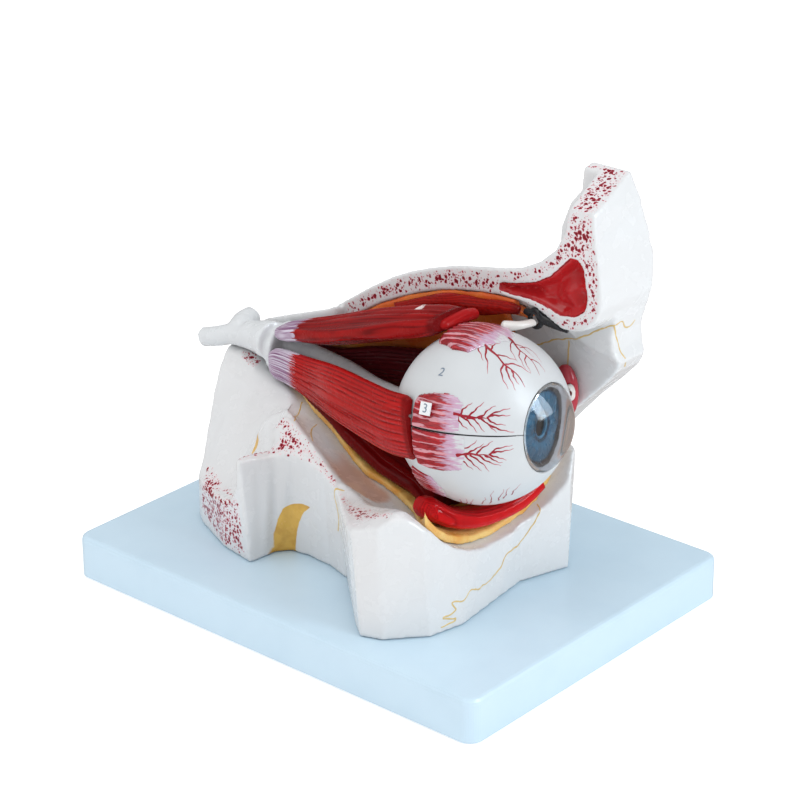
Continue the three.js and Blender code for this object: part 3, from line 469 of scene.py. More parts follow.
@dataclass(frozen=True)
class BonePaint(Finish):
    """Off-white casting with spongy saw cuts, ochre patches and brownish painted shade down the orbit's
    trough, from numbers stored on its mesh.
    """

    name: str = "bone_casting"
    white: Colour = linear(220, 221, 222)
    shade: Colour = linear(204, 201, 199)
    ochre: Colour = linear(220, 176, 84)
    ochre_dark: Colour = linear(170, 112, 32)
    trough_shade: Colour = linear(206, 162, 142)
    stain_red: Colour = linear(176, 40, 50)
    pore: Colour = linear(124, 8, 30)
    pore_rim: Colour = linear(186, 52, 74)
    blush: Colour = linear(236, 200, 205)

    def material(self, effects: Effects) -> bpy.types.Material:
        """Material with the paint over the cast plastic, and not under its unevenness.

        Args:
            effects: the shared node groups.

        Returns:
            The material.
        """
        made, sheet, shader = start_material(self.name)
        body = Surface(self.white, self.shade, 0.12, 0.26, 1.0).cast(sheet, effects)
        porous, sunk = self._pores(sheet, body.outputs["Colour"])
        patch = sheet.fade(sheet.attribute("ochre_depth") + sheet.noise(260.0, 3.0) * 0.9, 0.35, 0.75)
        level = sheet.add("SeparateXYZ", {0: sheet.place()}).outputs[2]
        blot = sheet.fade(sheet.noise(150.0, 4.0), 0.4, 0.75, 0.0, 0.5) + sheet.fade(level, 0.028, 0.022)
        stain = sheet.mix(sheet.math("MINIMUM", blot, 1.0), self.ochre, self.ochre_dark)
        # brownish painted shade down the trough inside the outer wall, from the stored hollow depth
        hollow = sheet.fade(sheet.attribute("hollow") + (sheet.noise(110.0, 3.0) - 0.5) * 0.6, 0.1, 0.9)
        ground = sheet.mix(hollow * 0.85, porous, self.trough_shade)
        rim = sheet.fade(sheet.attribute("sinus_rim") + (sheet.noise(420.0) - 0.5) * 0.9, 0.45, 0.6)
        sheet.fill(shader, {"Base Color": sheet.mix(rim, sheet.mix(patch, ground, stain), self.stain_red),
                            "Roughness": body.outputs["Roughness"], "Specular IOR Level": 0.4})
        sheet.relief(shader, sheet.math("MULTIPLY", body.outputs["Height"], 0.05) + sunk, 0.3, 0.0006)
        return made

    def _pores(self, sheet: Sheet, ground: Socket) -> tuple[Socket, Value]:
        """Painted spongy bone: crimson pores, denser where the cut face is deep inside its outline.

        Args:
            sheet: the material's tree.
            ground: colour under the pores.

        Returns:
            The colour and the height.
        """
        depth, place = sheet.attribute("saw_depth"), sheet.place()
        bend = sheet.add("TexNoise", {"Vector": place, "Scale": 520.0, "Detail": 3.0}).outputs["Color"]
        warped = sheet.add("MixRGB", {0: 0.0022, 1: place, 2: bend}, blend_type="ADD").outputs[0]
        crowd = sheet.fade(sheet.noise(110.0), 0.3, 0.6, 0.82, 1.0)
        level = sheet.fade(sheet.math("DIVIDE", depth, 5.0), 0.1, 1.0, 0.22, 0.54) * crowd
        edges = []
        for scale, low, high in ((440.0, 0.3, 1.1), (820.0, 0.1, 0.8)):
            cell = sheet.add("TexVoronoi", {"Vector": warped, "Scale": scale, "Randomness": 1.0})
            chance = sheet.add("SeparateColor", {0: cell.outputs["Color"]}).outputs[0]
            edges.append(level * sheet.fade(chance, 0.0, 0.8, low, high) - cell.outputs["Distance"])
        edge = sheet.math("MAXIMUM", *edges)
        inside = sheet.fade(depth, 1.1, 1.6)
        pore = sheet.fade(edge, -0.02, 0.04) * inside
        dark = sheet.mix(sheet.fade(edge, 0.02, 0.16), self.pore_rim, self.pore)
        pale = sheet.mix(sheet.fade(edge, -0.28, 0.0) * 0.5, ground, self.blush)
        return sheet.mix(inside, ground, sheet.mix(pore, pale, dark)), pore * -1.0


@dataclass(frozen=True)
class MusclePaint(Finish):
    """Glossy fibre-lined muscle, with frayed pale tendons at the given shares of its length."""

    name: str
    flesh: Colour = linear(160, 26, 26)
    dark: Colour = linear(74, 6, 9)
    tendon: Colour = linear(208, 200, 214)
    veil: Colour = linear(142, 104, 136)
    start: float = -1.0
    end: float = 2.0
    fray: float = 0.03
    lines: float = 14.0
    gloss: float = 0.26
    bump: float = 0.12
    specular: float = 0.13

    def surface(self, sheet: Sheet, effects: Effects) -> Surface:
        """Surface drawn by the shared fibres.

        Args:
            sheet: the material's tree.
            effects: the shared node groups.

        Returns:
            Its colour, gloss and relief.
        """
        fibres = sheet.add("Group", {
            "Across": sheet.attribute("across"), "Along": sheet.attribute("along"),
            "Groove": sheet.attribute("groove"), "Lines": self.lines, "Flesh": self.flesh, "Dark": self.dark,
            "Tendon": self.tendon, "Veil": self.veil, "Start": self.start, "End": self.end, "Fray": self.fray,
        }, node_tree=effects.fibres)
        return Surface(fibres.outputs["Colour"], self.dark, 0.16, self.gloss, 0.2, fibres.outputs["Height"],
                       self.bump, 0.0007, {"Specular IOR Level": self.specular})


@dataclass(frozen=True)
class StumpPaint(Finish):
    """Muscle end on the globe: red fibres with stripes of painted highlight and painted shade, that thin out
    through lilac into the white of the globe.
    """

    name: str = "muscle_end"
    white: Colour = linear(203, 206, 208)
    red: Colour = linear(178, 34, 44)
    deep: Colour = linear(132, 16, 28)
    highlight_pink: Colour = linear(222, 168, 178)
    lilac: Colour = linear(196, 162, 186)
    lines: float = 14.0

    def surface(self, sheet: Sheet, effects: Effects) -> Surface:
        """Surface with ribs of painted highlight and painted shade, from numbers stored on the mesh.

        Args:
            sheet: the material's tree.
            effects: the shared node groups.

        Returns:
            Its colour, gloss and relief.
        """
        along, across = sheet.attribute("along"), sheet.attribute("across")
        run = sheet.drawn_out(self.lines, 1.7, across, along)
        strand, fine = sheet.noise(1.6, 3.0, run), sheet.noise(4.2, 2.0, run)
        both = strand * 0.55 + fine * 0.45
        red = sheet.mix(sheet.fade(both, 0.42, 0.58), self.deep, self.red)
        # stripes across the fibres: pale painted highlights, and deep red painted shade between them
        wave = sheet.math("SINE", across * 62.0 + strand * 9.0)
        red = sheet.mix(sheet.fade(wave, 0.55, 0.95) * 0.75, red, self.highlight_pink)
        red = sheet.mix(sheet.fade(wave, -0.5, -0.95) * 0.6, red, self.deep)
        veil = sheet.mix(sheet.fade(along + (both - 0.5) * -1.1, 0.52, 0.76), red, self.lilac)
        out = sheet.fade(along + (both - 0.5) * -1.9, 0.8, 1.04)
        return Surface(sheet.mix(out, veil, self.white), self.red, 0.05, 0.24, 0.2, both,
                       fixed={"Coat Weight": 0.25})


@dataclass(frozen=True)
class LiningPaint(Finish):
    """Ochre orbital lining, darker and more orange high up under the roof."""

    name: str = "orbit_lining"
    pale: Colour = linear(236, 200, 122)
    ochre: Colour = linear(228, 168, 78)
    brown: Colour = linear(222, 98, 44)
    orange: Colour = linear(222, 122, 50)

    def surface(self, sheet: Sheet, effects: Effects) -> Surface:
        """Cloudy surface that changes with the height.

        Args:
            sheet: the material's tree.
            effects: the shared node groups.

        Returns:
            Its colour, gloss and relief.
        """
        high = sheet.fade(sheet.add("SeparateXYZ", {0: sheet.place()}).outputs[2], 0.103, 0.126)
        cloud = sheet.fade(sheet.noise(90.0, 4.0), 0.35, 0.7)
        colour = sheet.mix(high, sheet.mix(cloud, self.pale, self.ochre),
                           sheet.mix(cloud, self.brown, self.orange))
        return Surface(colour, self.brown, 0.2, 0.3, 1.0, None, 0.06, 0.001,
                       {"Coat Weight": 0.1, "Specular IOR Level": 0.35})


@dataclass(frozen=True)
class IrisPaint(Finish):
    """Blue iris with radial fibres, a dark outer ring and a ring round the pupil."""

    name: str = "iris_blue"
    blue: Colour = linear(40, 88, 120)
    deep: Colour = linear(14, 42, 66)
    light: Colour = linear(74, 128, 160)

    def surface(self, sheet: Sheet, effects: Effects) -> Surface:
        """Surface with rays and rings, from numbers stored on the mesh.

        Args:
            sheet: the material's tree.
            effects: the shared node groups.

        Returns:
            Its colour, gloss and relief.
        """
        out = sheet.attribute("along")
        run = sheet.drawn_out(60.0, 2.2, sheet.attribute("across"), out)
        ray = sheet.fade(sheet.noise(1.0, 4.0, run), 0.35, 0.68)
        colour = sheet.mix(ray, self.blue, self.light)
        for low, high, ring in ((0.46, 0.4, self.deep), (0.35, 0.32, self.light), (0.9, 0.99, self.deep)):
            colour = sheet.mix(sheet.fade(out, low, high), colour, ring)
        return Surface(colour, self.deep, 0.25, height=ray, bump=0.25)


@dataclass(frozen=True)
class ShadowReflectionRing(Finish):
    """Ring round the iris: white above; on the nose side a dark band of painted shadow by the iris, then grey
    and brown bands of painted reflection.
    """

    name: str = "chamber_ring_painted_shadow_reflection"
    white: Colour = linear(238, 242, 245)
    # dark is painted shadow at the iris's edge; grey and brown are painted reflection
    dark: Colour = linear(14, 8, 12)
    grey: Colour = linear(204, 198, 202)
    brown: Colour = linear(190, 142, 122)

    def surface(self, sheet: Sheet, effects: Effects) -> Surface:
        """Bands of painted shadow and painted reflection, from numbers stored on the mesh.

        Args:
            sheet: the material's tree.
            effects: the shared node groups.

        Returns:
            Its colour, gloss and relief.
        """
        out = sheet.attribute("along") + (sheet.noise(160.0, 3.0) - 0.5) * 0.05
        shadow_and_reflection = sheet.mix(sheet.fade(out, 0.855, 0.875), self.dark, self.grey)
        shadow_and_reflection = sheet.mix(sheet.fade(out, 0.925, 0.955), shadow_and_reflection, self.brown)
        colour = sheet.mix(sheet.fade(sheet.attribute("nose"), -0.45, 0.1), self.white, shadow_and_reflection)
        return Surface(colour, self.grey, 0.2, bump=0.0)


@dataclass(frozen=True)
class ClearPlastic(Finish):
    """Polished clear plastic."""

    name: str
    tint: Colour = (0.93, 0.965, 0.98)
    roughness: float = 0.015
    ior: float = 1.46

    def surface(self, sheet: Sheet, effects: Effects) -> Surface:
        """Clear surface without relief."""
        return Surface(self.tint, self.tint, 0.1, self.roughness, 0.0, bump=0.0, fixed={
            "Roughness": self.roughness, "Transmission Weight": 1.0, "IOR": self.ior})


class Workshop:
    """What every sub-assembly shares: the solids, the node groups and the materials made so far."""

    def __init__(self, frame: dict) -> None:
        """Takes the loaded frame.
        """
        self.nodes: dict[str, Piece] = frame["nodes"]
        self.effects = Effects()
        self._made: dict[str, bpy.types.Material] = {}

    def material(self, finish: Finish) -> bpy.types.Material:
        """Material of a finish, made on its first use.

        Args:
            finish: the finish.

        Returns:
            The material.
        """
        if finish.name not in self._made:
            self._made[finish.name] = finish.material(self.effects)
        return self._made[finish.name]

    def dress(self, name: str, finish: Finish) -> None:
        """Gives a kept solid its finish and smooth round faces.

        Args:
            name: the solid's node.
            finish: its finish.
        """
        mesh = self.nodes[name].data
        mesh.materials.clear()
        mesh.materials.append(self.material(finish))
        mesh.shade_smooth()
        mesh.set_sharp_from_angle(angle=math.radians(SOLID_SHARP))
        LOG.info("dressed %s", name)

    def place(self, piece: Piece, body: Body, finish: Finish, slot: str,
              replaces: Sequence[str] = ()) -> None:
        """Gives a new piece its finish and its body.

        Args:
            piece: the new mesh object.
            body: the body it moves with.
            finish: its finish.
            slot: the record's material slot; not used.
            replaces: nodes that it stands for.
        """
        piece.data.materials.append(self.material(finish))
        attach(piece, body.value)
        if replaces:
            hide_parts(*replaces)
        LOG.info("placed %s: %d faces", piece.name, len(piece.data.polygons))

    def skin(self, name: str, node: str, voxel: float, rounds: int) -> Piece:
        """Smoothed skin round one solid.

        Args:
            name: the new object's name.
            node: the solid.
            voxel: size of the remesh cells.
            rounds: steps of smoothing.

        Returns:
            The new object.
        """
        made = cast_skin(name, [self.nodes[node]], voxel)
        relax(made, rounds)
        return made


def linked(name: str, data: bpy.types.ID) -> Piece:
    """New object in the scene, made from a mesh, light, camera or curve.

    Args:
        name: the object's name.
        data: its mesh, light, camera or curve.

    Returns:
        The linked object.
    """
    made = bpy.data.objects.new(name, data)
    bpy.context.scene.collection.objects.link(made)
    return made


def make_object(name: str, points: np.ndarray, faces: Faces, sharp: float = 40.0,
                merge: float | None = None) -> Piece:
    """Mesh object from points in millimetres.

    Args:
        name: the object's name.
        points: one row per vertex.
        faces: vertex numbers of each face.
        sharp: edges steeper than this many degrees stay sharp.
        merge: distance in metres at which points are joined.

    Returns:
        The linked object.
    """
    mesh = bpy.data.meshes.new(name)
    mesh.from_pydata((np.asarray(points, float) * MM).tolist(), [], [list(face) for face in faces])
    mesh.validate()
    face_outwards(mesh, sharp, merge)
    return linked(name, mesh)


def face_outwards(mesh: bpy.types.Mesh, sharp: float, merge: float | None) -> None:
    """Turns a mesh's faces outwards and shades it smooth between its sharp edges.

    Args:
        mesh: the mesh.
        sharp: edges steeper than this many degrees stay sharp.
        merge: distance in metres at which points are joined.
    """
    work = bmesh.new()
    work.from_mesh(mesh)
    if merge is not None:
        bmesh.ops.remove_doubles(work, verts=work.verts, dist=merge)
    bmesh.ops.recalc_face_normals(work, faces=work.faces)
    work.to_mesh(mesh)
    work.free()
    mesh.shade_smooth()
    mesh.set_sharp_from_angle(angle=math.radians(sharp))


def store(piece: Piece, **rows: np.ndarray) -> None:
    """Stores numbers on the points of a piece, by the attribute's name.

    Args:
        piece: the mesh object.
        rows: values for the points, by the attribute's name.
    """
    for name, values in rows.items():
        made = piece.data.attributes.new(name, "FLOAT", "POINT")
        made.data.foreach_set("value", np.asarray(values, np.float32))


def ring_faces(rows: int, columns: int, start: int = 0) -> Faces:
    """Quads between rings of points stored ring by ring.

    Args:
        rows: number of rings.
        columns: points in a ring.
        start: number of the first point.

    Returns:
        The faces.
    """
    faces = []
    for r in range(start, start + (rows - 1) * columns, columns):
        for c in range(columns):
            d = (c + 1) % columns
            faces.append((r + c, r + d, r + columns + d, r + columns + c))
    return faces


def tube_faces(rows: int, columns: int, start: int = 0) -> Faces:
    """Faces between rings of points, with both ends closed.

    Args:
        rows: number of rings.
        columns: points in a ring.
        start: number of the first point.

    Returns:
        The faces.
    """
    last = start + (rows - 1) * columns
    return [*ring_faces(rows, columns, start), tuple(range(start, start + columns)),
            tuple(range(last, last + columns))]


def double_faces(faces: Faces, shift: int) -> Faces:
    """Faces of a sheet and of its copy behind it, joined along the border.

    Args:
        faces: faces of the sheet.
        shift: number of its points.

    Returns:
        Faces of the closed shell.
    """
    edges = dict.fromkeys(edge for face in faces for edge in zip(face, face[1:] + face[:1]))
    border = [(b, a, a + shift, b + shift) for a, b in edges if (b, a) not in edges]
    return [*faces, *(tuple(i + shift for i in reversed(face)) for face in faces), *border]


def kept_quads(keep: np.ndarray) -> Faces:
    """Quads of a grid whose four corners are all kept, numbered among the kept points.

    Args:
        keep: which points of the grid are kept.

    Returns:
        The faces.
    """
    number = -np.ones(keep.shape, int)
    number[keep] = np.arange(keep.sum())
    corners = [number[:-1, :-1], number[1:, :-1], number[1:, 1:], number[:-1, 1:]]
    quads = np.stack(corners, axis=-1).reshape(-1, 4)
    return [tuple(quad) for quad in quads[quads.min(axis=1) >= 0].tolist()]


def spline(points: Sequence[Sequence[float]], count: int) -> np.ndarray:
    """Smooth rows through rows of numbers, spread evenly by the length of the first three.

    Args:
        points: one row per station.
        count: rows to give.

    Returns:
        The rows.
    """
    points = np.asarray(points, float)
    length = np.concatenate([[0], np.cumsum(np.linalg.norm(np.diff(points[:, :3], axis=0), axis=1))])
    slopes = np.gradient(points, length, axis=0)
    at = np.linspace(0, length[-1], count)
    part = np.clip(np.searchsorted(length, at, side="right") - 1, 0, len(points) - 2)
    span = (length[part + 1] - length[part])[:, None]
    t = ((at - length[part]) / span[:, 0])[:, None]
    return ((2 * t**3 - 3 * t**2 + 1) * points[part] + (t**3 - 2 * t**2 + t) * span * slopes[part]
            + (-2 * t**3 + 3 * t**2) * points[part + 1] + (t**3 - t**2) * span * slopes[part + 1])


def unit(vectors: np.ndarray) -> np.ndarray:
    """Vectors scaled to length one."""
    return vectors / np.maximum(np.linalg.norm(vectors, axis=-1, keepdims=True), 1e-9)


def wave_noise(x: np.ndarray, y: np.ndarray | float, seed: int, terms: int = 6) -> np.ndarray:
    """Smooth noise between about -1 and 1 from a few slanted waves.

    Args:
        x: first coordinate.
        y: second coordinate.
        seed: picks the waves.
        terms: number of waves.

    Returns:
        The noise at each point.
    """
    draw = np.random.default_rng(seed)
    total = np.zeros(np.broadcast(x, y).shape)
    for _ in range(terms):
        a, b, phase = draw.uniform(-1, 1), draw.uniform(-1, 1), draw.uniform(0, 2 * math.pi)
        total = total + np.sin(2 * math.pi * (a * x + b * y) + phase)
    return total / math.sqrt(terms * 2)


def tube_mesh(path: np.ndarray, radii: np.ndarray, sides: int, flat: np.ndarray | None = None,
              squash: float = 1.0) -> tuple[np.ndarray, Faces]:
    """Round or flattened tube with closed ends.

    Args:
        path: centre points.
        radii: radius at each.
        sides: points round it.
        flat: outward direction at each point, that the tube is flattened along.
        squash: thickness along flat, as a share of the radius.

    Returns:
        Points and faces.
    """
    run = unit(np.gradient(path, axis=0))
    up = flat if flat is not None else np.tile([0.0, 0.0, 1.0], (len(path), 1))
    side = unit(np.cross(up, run))
    lift = unit(np.cross(run, side))
    angle = np.linspace(0, 2 * math.pi, sides, endpoint=False)
    rings = (path[:, None] + radii[:, None, None] * (np.cos(angle)[None, :, None] * side[:, None]
             + squash * np.sin(angle)[None, :, None] * lift[:, None]))
    return rings.reshape(-1, 3), tube_faces(len(path), sides)


def near_path(points: np.ndarray, path: Sequence[Sequence[float]]) -> np.ndarray:
    """Distance of points to a chain of straight stretches.

    Args:
        points: one row per point.
        path: corners of the chain.

    Returns:
        The distances.
    """
    nearest = np.full(len(points), np.inf)
    corners = np.asarray(path, float)
    for a, b in zip(corners, corners[1:]):
        edge = b - a
        share = np.clip(((points - a) @ edge) / (edge @ edge), 0, 1)
        nearest = np.minimum(nearest, np.linalg.norm(points - a - share[:, None] * edge, axis=1))
    return nearest


def inside_depth(points: np.ndarray, outline: Outline) -> np.ndarray:
    """Distance of flat points to an outline, positive inside it.

    Args:
        points: two numbers a row.
        outline: corners of the outline.

    Returns:
        The signed distances.
    """
    closed = np.array([*outline, outline[0]], float)
    within = np.zeros(len(points), bool)
    for a, b in zip(closed, closed[1:]):
        if a[1] != b[1]:
            crosses = (a[1] > points[:, 1]) != (b[1] > points[:, 1])
            within ^= crosses & (points[:, 0] < a[0] + (points[:, 1] - a[1]) * (b[0] - a[0]) / (b[1] - a[1]))
    nearest = near_path(points, closed)
    return np.where(within, nearest, -nearest)


def grid_depth(gx: np.ndarray, gy: np.ndarray, outline: Outline) -> np.ndarray:
    """Signed distances to an outline over a grid."""
    return inside_depth(np.column_stack([gx.ravel(), gy.ravel()]), outline).reshape(gx.shape)


def round_ends(share: np.ndarray, first: float, last: float, least: float) -> np.ndarray:
    """Factor on a tube's radius that rounds its two ends.

    Args:
        share: places along the tube, 0 to 1.
        first: share of the length that the first end takes.
        last: share of the length that the last end takes.
        least: square of the factor at the tips.

    Returns:
        The factors.
    """
    return np.sqrt(np.clip(np.minimum(share / first, (1 - share) / last), least, 1))


def cast_skin(name: str, sources: Sequence[Piece], voxel: float) -> Piece:
    """One closed skin round copies of several solids.

    Args:
        name: the new object's name.
        sources: the solids.
        voxel: size of the remesh cells.

    Returns:
        The new object.
    """
    work = bmesh.new()
    for source in sources:
        work.from_mesh(source.data)
    mesh = bpy.data.meshes.new(name)
    work.to_mesh(mesh)
    work.free()
    made = linked(name, mesh)
    cells = made.modifiers.new("cells", "REMESH")
    cells.mode = "VOXEL"
    cells.voxel_size = voxel * MM
    bpy.context.view_layer.update()
    result = bpy.data.meshes.new_from_object(made.evaluated_get(bpy.context.evaluated_depsgraph_get()))
    made.modifiers.clear()
    made.data = result
    result.shade_smooth()
    return made


def read_vertices(piece: Piece, kind: str = "co") -> np.ndarray:
    """Vertex places of a piece in metres, or its normals with kind normal.

    Args:
        piece: the mesh object.
        kind: co for places or normal for normals.

    Returns:
        One row per point.
    """
    flat = np.empty(len(piece.data.vertices) * 3)
    piece.data.vertices.foreach_get(kind, flat)
    return flat.reshape(-1, 3)


def read_skin(piece: Piece) -> tuple[np.ndarray, np.ndarray]:
    """Vertex places of a piece in millimetres and its vertex normals."""
    return read_vertices(piece) / MM, read_vertices(piece, "normal")


def write_points(piece: Piece, points: np.ndarray) -> None:
    """Sets the vertex places of a piece from millimetres."""
    piece.data.vertices.foreach_set("co", (points * MM).ravel())
    piece.data.update()


def relax(piece: Piece, rounds: int, weight: np.ndarray | float = 1.0) -> None:
    """Smooths a skin without shrinking it, by steps in and out.

    Args:
        piece: the mesh object.
        rounds: number of step pairs.
        weight: how freely each point moves, 0 to 1.
    """
    points = read_vertices(piece) / MM
    pairs = np.empty(len(piece.data.edges) * 2, np.int64)
    piece.data.edges.foreach_get("vertices", pairs)
    a, b = pairs.reshape(-1, 2).T
    count = np.bincount(np.concatenate([a, b]), minlength=len(points)).astype(float)[:, None]
    free = np.broadcast_to(np.asarray(weight, float), (len(points),))[:, None]
    for _ in range(rounds):
        for step in RELAX_STEPS:
            total = np.stack([np.bincount(a, axis[b], len(points)) + np.bincount(b, axis[a], len(points))
                              for axis in points.T], axis=1)
            points = points + step * free * (total / count - points)
    write_points(piece, points)


def surface_tree(piece: Piece) -> BVHTree:
    """Search tree over the faces of a piece."""
    return BVHTree.FromObject(piece, bpy.context.evaluated_depsgraph_get())


def on_surface(tree: BVHTree, place: Sequence[float]) -> tuple[np.ndarray, np.ndarray]:
    """Nearest point of a surface.

    Args:
        tree: what surface_tree gave.
        place: a point in millimetres.

    Returns:
        The point in millimetres and the surface's normal there.
    """
    spot, normal, _, _ = tree.find_nearest(Vector(place) * MM)
    return np.array(spot) / MM, np.array(normal)


@dataclass(frozen=True)
class Softbox:
    """One soft light of the studio."""

    name: str
    place: Point
    aim: Point
    wide: float
    tall: float
    power: float
    colour: Colour
    gloss_only: bool = False


@dataclass
class Stage:
    """Floor, light and camera, none of them part of the object."""

    camera_place: Point = (853.384, -971.655, 682.942)
    azimuth: float = math.radians(41.162)
    elevation: float = math.radians(23.921)
    roll: float = math.radians(-0.313)
    lens: float = 120.954
    sensor: float = 36.0
    floor_side: float = 9000.0
    surround: float = 0.8
    mirrored_surround: float = 0.28
    softboxes: tuple[Softbox, ...] = (
        Softbox("key_softbox", (1150, 120, 760), (60, -10, 110), 420, 520, 5.1, (0.86, 0.945, 1.0)),
        Softbox("fill_softbox", (-450, -1150, 650), (0, 0, 110), 800, 800, 1.35, (1.0, 0.99, 0.98)),
        Softbox("top_softbox", (-150, -250, 1450), (0, 0, 100), 900, 900, 4.5, (1.0, 0.99, 0.98)),
        Softbox("window_card", (1022, 298, 862), (105, -10, 135), 720, 860, 17.0, (0.78, 0.9, 1.0), True),
    )

    def build(self) -> None:
        """Makes the floor, the lights, the world and the camera."""
        half = self.floor_side / 2
        corners = [(-half, -half, 0), (half, -half, 0), (half, half, 0), (-half, half, 0)]
        floor = make_object("floor", corners, [(0, 1, 2, 3)])
        made, sheet, shader = start_material("floor_white")
        lit = sheet.math("SUBTRACT", 1.0, sheet.add("LightPath").outputs["Is Glossy Ray"])
        sheet.fill(shader, {"Base Color": sheet.mix(lit, (0.34, 0.26, 0.22), (0.94, 0.942, 0.945)),
                            "Roughness": 0.9, "Emission Color": (1.0, 1.0, 1.0),
                            "Emission Strength": lit * 0.3})
        floor.data.materials.append(made)
        for softbox in self.softboxes:
            self._lamp(softbox)
        world = bpy.data.worlds.new("studio_white")
        world.use_nodes = True
        sky = Sheet(world.node_tree)
        mirrored = sky.add("LightPath").outputs["Is Glossy Ray"]
        strength = sky.add("MapRange", {0: mirrored, 3: self.surround, 4: self.mirrored_surround}).outputs[0]
        sky.fill(world.node_tree.nodes["Background"], {0: (0.985, 0.99, 1.0), 1: strength})
        bpy.context.scene.world = world
        bpy.context.scene.view_settings.view_transform = "Standard"
        self._camera()
        LOG.info("stage ready")

    @staticmethod
    def _lamp(softbox: Softbox) -> None:
        """Soft light aimed at a point.

        Args:
            softbox: its place, size and power.
        """
        data = bpy.data.lights.new(softbox.name, "AREA")
        data.energy = softbox.power
        data.shape = "RECTANGLE"
        data.size = softbox.wide * MM
        data.size_y = softbox.tall * MM
        data.color = softbox.colour
        lamp = linked(softbox.name, data)
        lamp.location = Vector(softbox.place) * MM
        aim = Vector(softbox.aim) - Vector(softbox.place)
        lamp.rotation_euler = aim.to_track_quat("-Z", "Y").to_euler()
        lamp.visible_diffuse = not softbox.gloss_only

    def _camera(self) -> None:
        """Camera at the photographed viewing angle."""
        a, e = self.azimuth, self.elevation
        back = Vector((math.sin(a) * math.cos(e), -math.cos(a) * math.cos(e), math.sin(e)))
        right = Vector((math.cos(a), math.sin(a), 0))
        up = back.cross(right)
        c, s = math.cos(self.roll), math.sin(self.roll)
        turn = Matrix((right * c + up * s, up * c - right * s, back)).transposed().to_4x4()
        data = bpy.data.cameras.new("photo_camera")
        data.sensor_width = self.sensor
        data.lens = self.lens
        data.clip_end = 50
        camera = linked("photo_camera", data)
        camera.matrix_world = Matrix.Translation(Vector(self.camera_place) * MM) @ turn
        bpy.context.scene.camera = camera


@dataclass
class BaseMoulding:
    """Pale blue moulded base on its feet, and the steel screws and pins."""

    blue: CastPlastic = CastPlastic("base_blue", linear(200, 222, 236), linear(188, 212, 228), 0.3, 0.36, 1.0,
                                    0.02)
    rubber: CastPlastic = CastPlastic("rubber_foot", linear(52, 54, 56), linear(36, 37, 38), 0.4, 0.75, 1.0,
                                      0.2)
    steel: CastPlastic = CastPlastic("zinc_steel", linear(190, 192, 194), linear(150, 152, 156), 0.4, 0.3,
                                     1.0, 0.05, metallic=1.0)

    def build(self, shop: Workshop) -> None:
        """Dresses the base, its feet, its screws and the muscle pins.

        Args:
            shop: the workshop.
        """
        shop.dress("base_shell", self.blue)
        for i in range(1, 5):
            shop.dress(f"foot_{i}", self.rubber)
            shop.dress(f"base_screw_{i}", self.steel)
        for half in ("upper", "lower"):
            shop.dress(f"muscle_pin_{half}", self.steel)


